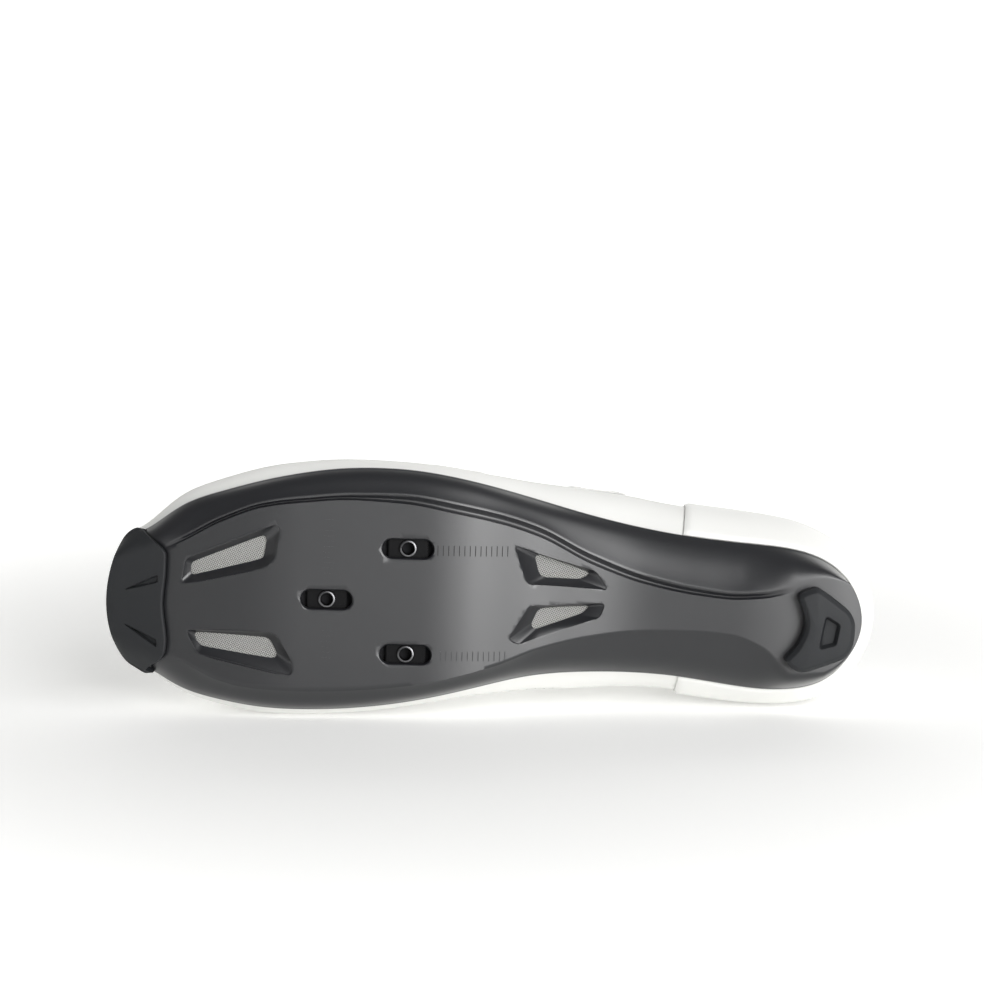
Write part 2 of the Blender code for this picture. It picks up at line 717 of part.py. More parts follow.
def make_sole_plate():
    lower = sole_rows(underside, under_lines)
    upper = sole_rows(footbed, top_lines)
    wide = len(lower[0])
    narrow = len(upper[0])
    rows = len(lower)
    vertices = [point for row in lower for point in row] + [point for row in upper for point in row]
    shift = rows * wide
    faces = grid_faces(rows, wide) + grid_faces(rows, narrow, shift)
    for i in range(rows - 1):
        for low, high in ((0, 0), (wide - 1, narrow - 1)):
            faces.append((
                i * wide + low,
                (i + 1) * wide + low,
                shift + (i + 1) * narrow + high,
                shift + i * narrow + high,
            ))
    for turn, row in ((0.0, 0), (1.0, rows - 1)):
        x = edge_x(turn)
        foot = base_height(turn) + edge_roll(turn)
        low_end = len(vertices)
        vertices.append((x, 0.0, foot))
        vertices.append((x, 0.0, foot + PLATE_EDGE_THICKNESS))
        for j in range(wide - 1):
            faces.append((low_end, row * wide + j, row * wide + j + 1))
        for j in range(narrow - 1):
            faces.append((low_end + 1, shift + row * narrow + j, shift + row * narrow + j + 1))
        for low, high in ((0, 0), (wide - 1, narrow - 1)):
            faces.append((low_end, row * wide + low, shift + row * narrow + high, low_end + 1))
    plate = add_object("sole_plate", vertices, faces, COMPOSITE)

    vents = (
        ("front_outer", FRONT_OUTER_MOUTH, FRONT_OUTER_OPENING, FRONT_VENT_X),
        ("front_inner", FRONT_INNER_MOUTH, FRONT_INNER_OPENING, FRONT_VENT_X),
        ("rear_outer", REAR_OUTER_MOUTH, REAR_OUTER_OPENING, REAR_VENT_X),
        ("rear_inner", REAR_INNER_MOUTH, REAR_INNER_OPENING, REAR_VENT_X),
    )
    for name, mouth_rows, opening_rows, datum in vents:
        mouth = rounded(vent_outline(mouth_rows, datum), VENT_CORNER)
        opening = rounded(vent_outline(opening_rows, datum), VENT_CORNER)
        cut(plate, vent_cutter("vent_" + name, mouth, opening))

    for name, centre in slot_places():
        throat = stadium(centre, SLOT_LENGTH, SLOT_WIDTH)
        wider = stadium(centre, SLOT_LENGTH + 4.0 * SLOT_CHAMFER, SLOT_WIDTH + 4.0 * SLOT_CHAMFER)
        cut(plate, loft("slot_" + name, wider, -SLOT_CHAMFER, throat, SLOT_CHAMFER))
        cut(plate, prism("slot_through_" + name, throat, -SLOT_LIP, 2.0 * PLATE_THICKNESS))
        pocket_length = NUT_PLATE_LENGTH + 2.0 * NUT_TRAVEL + 2.0 * FIT_GAP
        pocket_width = NUT_PLATE_WIDTH + 2.0 * FIT_GAP
        pocket = box_outline(centre, pocket_length, pocket_width)
        cut(plate, prism("nut_pocket_" + name, pocket, SLOT_LIP, 3.0 * PLATE_THICKNESS))
    smooth_shading(plate)
    return plate


def box_outline(centre, length, width):
    """Rectangle along X."""
    x = 0.5 * length
    y = 0.5 * width
    return [(centre[0] + a * x, centre[1] + b * y) for a, b in ((-1, -1), (1, -1), (1, 1), (-1, 1))]


def slot_places():
    half = 0.5 * SLOT_REAR_SPREAD
    return (
        ("front", (SLOT_FRONT_X, SLOT_LINE_Y)),
        ("rear_outer", (SLOT_REAR_X, SLOT_LINE_Y + half)),
        ("rear_inner", (SLOT_REAR_X, SLOT_LINE_Y - half)),
    )


def make_nuts():
    """Square plates with a round threaded collar that stands in the slot."""
    nuts = []
    for name, centre in slot_places():
        seat = SLOT_LIP + FIT_GAP
        plate = box_outline((0.0, 0.0), NUT_PLATE_LENGTH, NUT_PLATE_WIDTH)
        ring = [
            (
                0.5 * NUT_COLLAR * math.cos(2.0 * math.pi * i / COLLAR_SIDES),
                0.5 * NUT_COLLAR * math.sin(2.0 * math.pi * i / COLLAR_SIDES),
            )
            for i in range(COLLAR_SIDES)
        ]
        bottom = seat - NUT_COLLAR_HEIGHT
        top = seat + NUT_PLATE_THICKNESS
        count = COLLAR_SIDES
        vertices = [(*point, bottom) for point in ring] + [(*point, seat) for point in ring]
        vertices += [(*point, seat) for point in plate] + [(*point, top) for point in plate]
        nut = bmesh.new()
        corners = [nut.verts.new(point) for point in vertices]
        nut.faces.new(corners[:count])
        for i in range(count):
            after = (i + 1) % count
            nut.faces.new((corners[i], corners[after], corners[count + after], corners[count + i]))
        base = 2 * count
        quarter = count // 4
        starts = (5 * count // 8, 7 * count // 8, count // 8, 3 * count // 8)
        for side in range(4):
            after = (side + 1) % 4
            nut.faces.new((
                corners[base + side],
                corners[base + after],
                corners[base + 4 + after],
                corners[base + 4 + side],
            ))
            arc = [corners[count + (starts[side] + i) % count] for i in range(quarter + 1)]
            nut.faces.new([corners[base + side]] + arc + [corners[base + after]])
        nut.faces.new(corners[base + 4:])
        bmesh.ops.recalc_face_normals(nut, faces=nut.faces)
        mesh = bpy.data.meshes.new("cleat_nut_" + name)
        nut.to_mesh(mesh)
        nut.free()
        mesh.materials.append(STEEL)
        thing = bpy.data.objects.new("cleat_nut_" + name, mesh)
        bpy.context.scene.collection.objects.link(thing)
        thread = [
            (
                0.5 * NUT_THREAD * math.cos(2.0 * math.pi * i / COLLAR_SIDES),
                0.5 * NUT_THREAD * math.sin(2.0 * math.pi * i / COLLAR_SIDES),
            )
            for i in range(COLLAR_SIDES)
        ]
        drill = prism("nut_thread_" + name, thread, -SLOT_LIP, 2.0 * PLATE_THICKNESS)
        drill.location = (*centre, 0.0)
        thing.location = (*centre, 0.0)
        cut(thing, drill)
        smooth_shading(thing)
        nuts.append(thing)
    return nuts


def pad_point(x, y, front, distance):
    """Point at a distance outside the plate's underside at the toe. Near the front edge the
    direction leans outward, so that the pad wraps round the edge."""
    near_edge = 1.0 - min((front - x) / TOE_PAD_WRAP_REACH, 1.0)
    lean = math.radians(TOE_PAD_WRAP) * near_edge ** 2
    away = np.array((x - SOLE_LENGTH + TOE_PAD_FOCUS, y))
    away *= math.sin(lean) / np.linalg.norm(away)
    return np.array((x, y, underside(x, y))) + np.array((away[0], away[1], -math.cos(lean))) * distance


def toe_front_x(y):
    """Place of the sole's front edge at a place across it."""
    low = 0.80
    high = 1.0
    for _ in range(40):
        middle = 0.5 * (low + high)
        if half_width(middle, 1 if y >= 0.0 else -1) > abs(y):
            low = middle
        else:
            high = middle
    return SOLE_LENGTH * low


def toe_patch(near, far, grow=0.0):
    """Two grids of points over the toe, at depths under the plate's underside. The far
    one is chamfered round its edge. Growing the patch widens it on all sides."""
    reaches = (0.2, 0.4, 0.58, 0.72, 0.83, 0.93, 1.0)
    across = [-reach for reach in reversed(reaches)] + [0.0] + list(reaches)
    along = (0.0, 0.07, 0.3, 0.5, 0.66, 0.78, 0.87, 0.94, 1.0)
    rear_places = [row[0] for row in TOE_PAD_REAR]
    rear_steps = [row[1] for row in TOE_PAD_REAR]
    lower = []
    upper = []
    for part in across:
        y = part * (TOE_PAD_HALF_WIDTH + grow)
        front = toe_front_x(y) - TOE_PAD_TUCK + TOE_PAD_FLARE * part ** 4 + grow
        rear = SOLE_LENGTH - TOE_PAD_LENGTH * (1.0 - smooth_between(rear_places, rear_steps, part))
        rear = min(rear, front - TOE_PAD_TIP) - grow
        near_row = []
        far_row = []
        for step in along:
            x = rear + (front - rear) * step
            edge = min((1.0 - abs(part)) / 0.05, step / 0.07, 1.0)
            near_row.append(pad_point(x, y, front, near))
            far_row.append(pad_point(x, y, front, far * (TOE_PAD_RIM + (1.0 - TOE_PAD_RIM) * edge)))
        upper.append(near_row)
        lower.append(far_row)
    return lower, upper


def make_toe_pad(plate):
    """Bumper let into the toe of the plate and wrapped round its edge."""
    lower, upper = toe_patch(-TOE_PAD_SEAT, TOE_PAD_THICKNESS)
    pad = slab("toe_pad", lower, upper, RUBBER)
    lower, upper = toe_patch(-TOE_PAD_SEAT - TOE_PAD_GAP, TOE_PAD_THICKNESS + SLOT_LIP, TOE_PAD_GAP)
    seat = slab("toe_pad_seat", lower, upper, None)
    seat.hide_render = True
    seat.display_type = "WIRE"
    cut(plate, seat)
    for name, row in (("outer", TOE_NOTCHES[0]), ("inner", TOE_NOTCHES[1])):
        rear_y = row[1] * TOE_PAD_HALF_WIDTH
        front_y = row[0] * TOE_PAD_HALF_WIDTH
        half = 0.5 * TOE_NOTCH_WIDTH
        rear_x = SOLE_LENGTH - TOE_PAD_LENGTH + TOE_NOTCH_REAR
        front_x = rear_x + TOE_NOTCH_LENGTH
        wedge = [(rear_x, rear_y - half), (front_x, front_y), (rear_x, rear_y + half)]
        top = [underside(*point) - TOE_PAD_THICKNESS + TOE_NOTCH_DEPTH for point in wedge]
        vertices = [(*point, -HEEL_LIFT) for point in wedge] + [(*point, z) for point, z in zip(wedge, top)]
        faces = [(0, 1, 2), (3, 4, 5), (0, 1, 4, 3), (1, 2, 5, 4), (2, 0, 3, 5)]
        notch = add_object("toe_notch_" + name, vertices, faces)
        notch.hide_render = True
        notch.display_type = "WIRE"
        cut(pad, notch)
    smooth_shading(pad)
    return pad


def make_heel_pad():
    """Walking pad: a flat wear face on the standing plane, chamfered, with a recess."""
    def place(row):
        return (HEEL_PAD_X + row[0] * HEEL_PAD_LENGTH, HEEL_PAD_SHIFT + row[1] * HEEL_PAD_WIDTH)

    outline = rounded([place(row) for row in HEEL_PAD_OUTLINE], PAD_CORNER, 1)
    middle = np.mean([np.array(point) for point in outline], axis=0)
    rings = []
    for shrink, low in ((0.0, None), (0.0, PAD_CHAMFER), (PAD_CHAMFER, 0.0)):
        ring = []
        for point in outline:
            away = np.array(point) - middle
            inset = np.array(point) - away / np.linalg.norm(away) * shrink
            height = underside(*inset) - FIT_GAP if low is None else low
            ring.append((*inset, height))
        rings.append(ring)
    count = len(outline)
    vertices = [point for ring in rings for point in ring]
    faces = grid_faces(len(rings), count, 0, True)
    levels = (0.75, 0.5, 0.25)
    start = len(vertices)
    for level in levels:
        for point in outline:
            inset = middle + (np.array(point) - middle) * level
            vertices.append((*inset, underside(*inset) - FIT_GAP))
    faces += grid_faces(len(levels), count, start, True)
    for i in range(count):
        after = (i + 1) % count
        faces.append((i, after, start + after, start + i))
    centre = len(vertices)
    vertices.append((*middle, underside(*middle) - FIT_GAP))
    last = start + (len(levels) - 1) * count
    for i in range(count):
        faces.append((centre, last + i, last + (i + 1) % count))
    faces.append(tuple(2 * count + i for i in range(count)))
    pad = add_object("heel_pad", vertices, faces, RUBBER)
    recess = rounded([place(row) for row in HEEL_RECESS_OUTLINE], 0.5 * PAD_CORNER)
    cut(pad, prism("heel_pad_recess", recess, HEEL_PAD_RECESS, -PAD_CHAMFER, 0.6 * MM))
    smooth_shading(pad)
    return pad


def make_insole():
    """Foam sheet on the footbed, a fit gap inside the upper."""
    inset = UPPER_WALL + 3.0 * FIT_GAP
    lower = []
    upper = []
    for j in range(2, STATIONS - 1):
        turn = j / STATIONS
        outer = np.array((edge_x(turn), edge_y(turn))) - outward(turn) * inset
        inner = np.array((edge_x(turn), edge_y(2.0 - turn))) - outward(2.0 - turn) * inset
        low = []
        high = []
        for part in (0.0, 0.06, 0.2, 0.5, 0.8, 0.94, 1.0):
            x, y = inner + (outer - inner) * part
            low.append(np.array((x, y, footbed(x, y) + FIT_GAP)))
            high.append(np.array((x, y, footbed(x, y) + FIT_GAP + INSOLE_THICKNESS)))
        lower.append(low)
        upper.append(high)
    sheet = slab("insole", lower, upper, FOAM)
    smooth_shading(sheet)
    return sheet


def throat_station():
    """Last station whose rib tops stand apart, at the front end of the throat."""
    for j in range(STATIONS, 0, -1):
        if column(RIB_TOPS, 2, share_at(j / STATIONS)) * BALL_OUTER > THROAT_END_GAP:
            return j
    return 0


def make_upper():
    """One hollow wall: ribs run from the sole's edge up to the collar, throat and ridge."""
    steps = rib_steps(0.0, 2.0)
    ribs = 2 * STATIONS
    outer = []
    inner = []
    for i in range(ribs):
        turn = i / STATIONS
        share = share_at(turn)
        padding = min(max((0.34 - share) / 0.08, 0.0), 1.0)
        high = []
        deep = []
        for along in steps:
            reach = min(max((along - 1.2) / 0.5, 0.0), 1.0)
            wall = UPPER_WALL + (COLLAR_WALL - UPPER_WALL) * padding * reach * (1.0 if along < 1.99 else 0.45)
            high.append(rib_offset(turn, along, 0.0))
            deep.append(rib_offset(turn, along, -wall))
        outer.append(high)
        inner.append(deep)
    closed_from = throat_station() + 1
    for i in range(closed_from, STATIONS):
        mirror = ribs - i
        for layer in (outer, inner):
            middle = 0.5 * (layer[i][-1] + layer[mirror][-1])
            layer[i][-1] = middle
            layer[mirror][-1] = middle
    count = len(steps)
    vertices = [point for rib_points in outer for point in rib_points]
    shift = len(vertices)
    vertices += [point for rib_points in inner for point in rib_points]
    faces = []
    for i in range(ribs):
        after = (i + 1) % ribs
        for j in range(count - 1):
            a, b, c, d = i * count + j, after * count + j, after * count + j + 1, i * count + j + 1
            faces.append((a, b, c, d))
            faces.append((shift + a, shift + b, shift + c, shift + d))
        foot, foot_after = i * count, after * count
        faces.append((foot, foot_after, shift + foot_after, shift + foot))
        low = min(i, ribs - i)
        low_after = min(after, ribs - after) if after else 0
        if min(low, low_after) < closed_from:
            top, top_after = i * count + count - 1, after * count + count - 1
            faces.append((top, top_after, shift + top_after, shift + top))
    shell = add_object("upper", vertices, faces, UPPER_SHEET)
    smooth_shading(shell)
    return shell


def make_heel_cup():
    """Stiff counter wrapped round the heel, from the sole up to below the collar."""
    reach = turn_at(CUP_LENGTH / SOLE_LENGTH)

    def high_edge(turn):
        away = abs(turn) / reach
        return 1.0 + CUP_HEIGHT_SHARE * (1.0 - 0.55 * away ** 3)

    outer_turns = station_turns(0.0, reach)
    turns = [-turn for turn in reversed(outer_turns)][:-1] + outer_turns
    inner = []
    outer = []
    for turn in turns:
        top = high_edge(turn)
        steps = [i / LOW_STEPS for i in range(LOW_STEPS)]
        steps += [1.0 + (top - 1.0) * i / (HIGH_STEPS - 1) for i in range(HIGH_STEPS)]
        inner.append([rib_offset(turn % 2.0, along, FIT_GAP) for along in steps])
        outer.append([rib_offset(turn % 2.0, along, FIT_GAP + CUP_WALL) for along in steps])
    cup = slab("heel_cup", inner, outer, CUP_SHELL)
    smooth_shading(cup)
    return cup


def bridge(first, last, height):
    """Points of an arch between two points, higher in the middle."""
    points = []
    for i in range(1, BRIDGE_STEPS):
        t = i / BRIDGE_STEPS
        lift = np.array((0.0, 0.0, height * math.sin(math.pi * t)))
        points.append(first * (1.0 - t) + last * t + lift)
    return points


def across_throat(turn, low_outer, low_inner, distance, arch, slant=0.0):
    """Row of points over or under the throat, from the outer flank to the inner flank.
    A slant sets the row's outer end back along the shoe."""
    outer_side = []
    for along in rib_steps(low_outer, 2.0):
        back = slant * (2.0 - along) / (2.0 - low_outer)
        outer_side.append(rib_offset(turn_at(share_at(turn) - back / SOLE_LENGTH), along, distance))
    inner_side = [rib_offset(2.0 - turn, along, distance) for along in rib_steps(low_inner, 2.0)]
    span = bridge(outer_side[-1], inner_side[-1], arch)
    return outer_side + span + list(reversed(inner_side))


def make_strap(name, middle_x):
    """Flat closure strap that lies on the upper and spans the throat."""
    top_x = middle_x + STRAP_SLANT
    rear = turn_at((top_x - 0.5 * STRAP_WIDTH) / SOLE_LENGTH)
    front = turn_at((top_x + 0.5 * STRAP_WIDTH) / SOLE_LENGTH)
    inner = []
    outer = []
    for turn in station_turns(rear, front):
        for rows, distance in ((inner, STRAP_GAP), (outer, STRAP_GAP + STRAP_THICKNESS)):
            rows.append(across_throat(
                turn, STRAP_LOW_OUTER, STRAP_LOW_INNER, distance, STRAP_ARCH, STRAP_SLANT,
            ))
    strap = slab(name, inner, outer, UPPER_SHEET)
    smooth_shading(strap)
    return strap


def make_tongue():
    """Padded sheet under the throat; its top end stands above the collar."""
    rear = turn_at(TONGUE_SHARE)
    front = (throat_station() + 1) / STATIONS
    upper = []
    lower = []
    for turn in station_turns(rear, front):
        depth = UPPER_WALL + TONGUE_GAP
        upper.append(across_throat(turn, TONGUE_REACH, TONGUE_REACH, -depth, TONGUE_ARCH))
        deep = depth + TONGUE_THICKNESS
        lower.append(across_throat(turn, TONGUE_REACH, TONGUE_REACH, -deep, TONGUE_ARCH))
    for rows in (upper, lower):
        first = rows[0]
        middle = 0.5 * (first[0] + first[-1])
        crown = first[len(first) // 2]
        middle = np.array((crown[0], middle[1], crown[2]))
        for shrink, back, rise in TONGUE_TOP:
            lift = np.array((-back * TONGUE_RISE, 0.0, rise * TONGUE_RISE))
            rows.insert(0, [middle + (point - middle) * shrink + lift for point in first])
    tongue = slab("tongue", lower, upper, LINING)
    smooth_shading(tongue)
    return tongue


sole_plate = make_sole_plate()
pieces = [
    sole_plate,
    make_toe_pad(sole_plate),
    make_heel_pad(),
    make_insole(),
    make_upper(),
    make_heel_cup(),
    make_tongue(),
    make_strap("instep_strap", INSTEP_STRAP_X),
    make_strap("forefoot_strap", FOREFOOT_STRAP_X),
]
pieces += make_nuts()


def rest_facet(things):
    """Facet of the hull on which the shoe comes to rest when it is laid on its inner side."""
    hull = bmesh.new()
    volume = 0.0
    moment = Vector((0.0, 0.0, 0.0))
    for thing in things:
        part = bmesh.new()
        part.from_mesh(thing.data)
        part.transform(Matrix.Translation(thing.location))
        bmesh.ops.triangulate(part, faces=part.faces)
        for face in part.faces:
            a, b, c = (corner.co for corner in face.verts)
            piece = a.dot(b.cross(c)) / 6.0
            volume += piece
            moment += (a + b + c) * (piece / 4.0)
        for corner in part.verts:
            hull.verts.new(corner.co)
        part.free()
    centre = moment / volume
    bmesh.ops.convex_hull(hull, input=hull.verts)
    hull.normal_update()
    facets = [(face.normal.copy(), face.verts[0].co.copy()) for face in hull.faces]
    hull.free()
    facets = [
        (-normal if normal.dot(point - centre) < 0.0 else normal, point)
        for normal, point in facets
        if normal.length > 0.5
    ]
    down = Vector((0.0, -1.0, 0.0))
    for _ in range(12):
        reached = []
        for normal, point in facets:
            facing = normal.dot(down)
            if facing > 1e-6:
                reached.append((normal.dot(point - centre) / facing, normal))
        down = min(reached, key=lambda entry: entry[0])[1]
    return down


def lay_down(things):
    """Turn the pieces together onto their inner side and stand them on Z = 0."""
    down = rest_facet(things)
    up = -down
    toe = Vector((-1.0, 0.0, 0.0))
    along = (toe - up * toe.dot(up)).normalized()
    turn = Matrix((along, up.cross(along), up)).to_4x4()
    corners = [turn @ (vertex.co + thing.location) for thing in things for vertex in thing.data.vertices]
    low = Vector([min(corner[i] for corner in corners) for i in range(3)])
    high = Vector([max(corner[i] for corner in corners) for i in range(3)])
    middle = 0.5 * (low + high)
    shift = Matrix.Translation((-middle.x, -middle.y, -low.z))
    frame = bpy.data.objects.new("shoe_frame", None)
    bpy.context.scene.collection.objects.link(frame)
    for thing in list(bpy.context.scene.collection.objects):
        if thing.type == "MESH":
            thing.parent = frame
    frame.matrix_world = shift @ turn


lay_down(pieces)
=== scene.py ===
import json
import math

import bmesh
import bpy
import numpy as np
from mathutils import Matrix, Vector


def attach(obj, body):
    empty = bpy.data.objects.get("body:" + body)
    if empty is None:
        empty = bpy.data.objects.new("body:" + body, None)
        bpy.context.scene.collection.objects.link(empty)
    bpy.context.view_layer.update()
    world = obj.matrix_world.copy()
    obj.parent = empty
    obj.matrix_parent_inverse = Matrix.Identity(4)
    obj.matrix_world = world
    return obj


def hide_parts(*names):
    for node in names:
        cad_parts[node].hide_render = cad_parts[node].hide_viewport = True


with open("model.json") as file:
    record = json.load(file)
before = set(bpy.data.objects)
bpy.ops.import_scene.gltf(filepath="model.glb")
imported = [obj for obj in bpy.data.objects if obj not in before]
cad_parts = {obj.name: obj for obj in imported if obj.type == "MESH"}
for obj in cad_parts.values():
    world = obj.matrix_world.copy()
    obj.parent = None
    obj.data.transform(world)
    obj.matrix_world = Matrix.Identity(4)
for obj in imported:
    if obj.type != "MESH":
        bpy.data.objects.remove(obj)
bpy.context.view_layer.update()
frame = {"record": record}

# The sole plate. A real one is a single stiff moulding of fibre composite, dull grey and
# satin: its edge rolls up round the foot, a flatter centre plate stands proud of the flanks,
# and a groove runs beside it on the outer side only.
MM = 0.001
SOLE_LENGTH = 269.0 * MM
BALL_OUTER = 50.1 * MM
BALL_INNER = 36.3 * MM
ARCH_RISE = 11.0 * MM
TOE_SPRING = 17.0 * MM
HEEL_LIFT = 8.6 * MM
EDGE_RISE = 9.0 * MM
PLATE_THICKNESS = 5.0 * MM
PLATE_EDGE_THICKNESS = 1.6 * MM
PLATE_EDGE_ROUND = 0.35 * MM
GROOVE_WIDTH = 3.3 * MM
GROOVE_DEPTH = 1.5 * MM
GROOVE_LEAN = 0.8
RIDGE_WIDTH = 0.8 * MM
FIT_GAP = 0.3 * MM
EDGE_SHARE_LIMIT = 0.80
CREST_SHARE_LIMIT = 0.92
PROFILE_EVENING = 0.03
FLANK_SCOOP = 0.42

# Where the groove and the scooped flanks fade in and out, and over how much of the length
RELIEF_HEEL = (0.09, 0.07)
RELIEF_TOE = (0.93, 0.06)

# Share of the length, outer half and inner half of the sole as shares of the ball's
OUTLINE = (
    (0.020, 0.290, 0.430),
    (0.045, 0.400, 0.600),
    (0.097, 0.490, 0.705),
    (0.145, 0.515, 0.700),
    (0.245, 0.565, 0.612),
    (0.346, 0.667, 0.590),
    (0.446, 0.814, 0.647),
    (0.498, 0.892, 0.727),
    (0.546, 0.950, 0.812),
    (0.599, 0.990, 0.897),
    (0.647, 1.000, 0.952),
    (0.699, 0.986, 0.988),
    (0.747, 0.948, 1.000),
    (0.799, 0.886, 0.984),
    (0.848, 0.808, 0.932),
    (0.900, 0.700, 0.835),
    (0.948, 0.520, 0.655),
    (0.970, 0.450, 0.575),
    (0.988, 0.315, 0.400),
)

# Share of the length, outer and inner edge of the centre plate as shares of the ball's,
# and the share of the groove's full width
CENTRE_PLATE = (
    (0.00, 0.200, 0.320, 0.62),
    (0.05, 0.250, 0.490, 0.62),
    (0.09, 0.205, 0.500, 0.62),
    (0.13, 0.152, 0.275, 0.62),
    (0.17, 0.136, 0.157, 0.62),
    (0.22, 0.158, 0.130, 0.70),
    (0.29, 0.228, 0.143, 0.85),
    (0.36, 0.360, 0.212, 1.00),
    (0.43, 0.547, 0.350, 1.00),
    (0.48, 0.635, 0.498, 1.00),
    (0.54, 0.705, 0.628, 1.00),
    (0.61, 0.768, 0.746, 0.85),
    (0.68, 0.784, 0.835, 0.55),
    (0.74, 0.758, 0.826, 0.50),
    (0.79, 0.720, 0.810, 0.50),
    (0.85, 0.600, 0.722, 0.50),
    (0.90, 0.450, 0.560, 0.50),
    (1.00, 0.200, 0.300, 0.50),
)

# Share of the length, then shares of the heel lift, the arch rise and the toe spring
PROFILE = (
    (0.00, 1.10, 0.00, 0.00),
    (0.05, 1.02, 0.00, 0.00),
    (0.11, 1.00, 0.00, 0.00),
    (0.22, 0.70, 0.38, 0.00),
    (0.33, 0.20, 0.84, 0.00),
    (0.42, 0.00, 0.72, 0.00),
    (0.50, 0.00, 0.20, 0.00),
    (0.555, 0.00, 0.00, 0.00),
    (0.775, 0.00, 0.00, 0.00),
    (0.80, 0.00, 0.00, 0.03),
    (0.85, 0.00, 0.00, 0.15),
    (0.90, 0.00, 0.00, 0.35),
    (0.95, 0.00, 0.00, 0.63),
    (1.00, 0.00, 0.00, 1.00),
)
EDGE_ROLL = ((0.00, 0.85), (0.10, 1.00), (0.40, 1.00), (0.55, 0.80), (0.80, 0.72), (1.00, 0.45))


def smooth_between(xs, ys, x):
    """Value at each x of a smooth curve through the points, with no overshoot between them."""
    xs = np.asarray(xs, float)
    ys = np.asarray(ys, float)
    steps = np.diff(xs)
    slopes = np.diff(ys) / steps
    tangents = np.zeros(len(xs))
    tangents[0] = slopes[0]
    tangents[-1] = slopes[-1]
    for i in range(1, len(xs) - 1):
        if slopes[i - 1] * slopes[i] > 0.0:
            before = 2.0 * steps[i] + steps[i - 1]
            after = steps[i] + 2.0 * steps[i - 1]
            tangents[i] = (before + after) / (before / slopes[i - 1] + after / slopes[i])
    x = np.clip(x, xs[0], xs[-1])
    i = np.clip(np.searchsorted(xs, x, side="right") - 1, 0, len(xs) - 2)
    t = (x - xs[i]) / steps[i]
    rise = t * t * (3.0 - 2.0 * t)
    lead = t * (1.0 - t) ** 2 * tangents[i] * steps[i]
    trail = t * t * (t - 1.0) * tangents[i + 1] * steps[i]
    return ys[i] + (ys[i + 1] - ys[i]) * rise + lead + trail


def column(table, index, share):
    """Value at a share from a table's column."""
    return smooth_between([row[0] for row in table], [row[index] for row in table], share)


def share_at(turn):
    """Share of the length at a turn from 0 at the heel to 1 at the toe."""
    return 0.5 * (1.0 - np.cos(np.pi * turn))


def turn_at(share):
    return np.arccos(1.0 - 2.0 * np.clip(share, 0.0, 1.0)) / np.pi


def closed_curve(turns, values):
    """Coefficients of a smooth closed curve that repeats every two turns."""
    count = len(turns)
    gaps = np.diff(np.append(turns, turns[0] + 2.0))
    matrix = np.zeros((count, count))
    right = np.zeros(count)
    for i in range(count):
        matrix[i, i - 1] += gaps[i - 1]
        matrix[i, i] += 2.0 * (gaps[i - 1] + gaps[i])
        matrix[i, (i + 1) % count] += gaps[i]
        ahead = (values[(i + 1) % count] - values[i]) / gaps[i]
        right[i] = 6.0 * (ahead - (values[i] - values[i - 1]) / gaps[i - 1])
    return gaps, np.linalg.solve(matrix, right)


OUTLINE_TURNS = np.array(
    [0.0]
    + [float(turn_at(row[0])) for row in OUTLINE]
    + [1.0]
    + [2.0 - float(turn_at(row[0])) for row in reversed(OUTLINE)]
)
OUTLINE_WIDTHS = np.array(
    [0.0]
    + [row[1] * BALL_OUTER for row in OUTLINE]
    + [0.0]
    + [-row[2] * BALL_INNER for row in reversed(OUTLINE)]
)
OUTLINE_GAPS, OUTLINE_BENDS = closed_curve(OUTLINE_TURNS, OUTLINE_WIDTHS)


def edge_y(turn):
    """Sideways place of the sole's edge; turns 0 to 1 run up the outer side, 1 to 2 back down."""
    turn = np.asarray(turn, float) % 2.0
    i = np.searchsorted(OUTLINE_TURNS, turn, side="right") - 1
    gap = OUTLINE_GAPS[i]
    after = (i + 1) % len(OUTLINE_TURNS)
    t = (turn - OUTLINE_TURNS[i]) / gap
    line = OUTLINE_WIDTHS[i] * (1.0 - t) + OUTLINE_WIDTHS[after] * t
    bend = ((1.0 - t) ** 3 - (1.0 - t)) * OUTLINE_BENDS[i] + (t ** 3 - t) * OUTLINE_BENDS[after]
    return line + gap * gap / 6.0 * bend


def half_width(share, side):
    """Width of the sole from the axis to its edge, on the outer (1) or inner (-1) side."""
    turn = turn_at(share)
    return np.abs(edge_y(np.where(side > 0, turn, 2.0 - turn)))


def relief_places(share, side):
    """Distances from the axis of the centre plate's edge, the groove's far side and the crest."""
    outer = column(CENTRE_PLATE, 1, share) * BALL_OUTER
    inner = column(CENTRE_PLATE, 2, share) * BALL_INNER
    edge = np.minimum(np.where(side > 0, outer, inner), EDGE_SHARE_LIMIT * half_width(share, side))
    groove = edge + np.where(side > 0, column(CENTRE_PLATE, 3, share) * GROOVE_WIDTH, 0.0)
    return edge, groove, groove + np.where(side > 0, RIDGE_WIDTH, 0.0)


def base_height(share):
    """Height of the underside on the axis, evened out over a few millimetres."""
    to_end = np.minimum(share, 1.0 - share) / (2.0 * PROFILE_EVENING)
    reach = PROFILE_EVENING * np.clip(to_end, 0.0, 1.0)
    steps = (-1.0, -0.5, 0.0, 0.5, 1.0)
    total = 0.0
    for step in steps:
        near = share + step * reach
        total = total + column(PROFILE, 1, near) * HEEL_LIFT
        total = total + column(PROFILE, 2, near) * ARCH_RISE + column(PROFILE, 3, near) * TOE_SPRING
    return total / len(steps)


def edge_roll(share):
    return column(EDGE_ROLL, 1, share) * EDGE_RISE


def ease(value):
    """0 to 1, with a soft start and end."""
    value = np.clip(value, 0.0, 1.0)
    return value * value * (3.0 - 2.0 * value)


def rounded_rise(value):
    """0 to 1 along a quarter circle, as a rounded rim rises."""
    return np.sqrt(1.0 - (1.0 - np.clip(value, 0.0, 1.0)) ** 2)


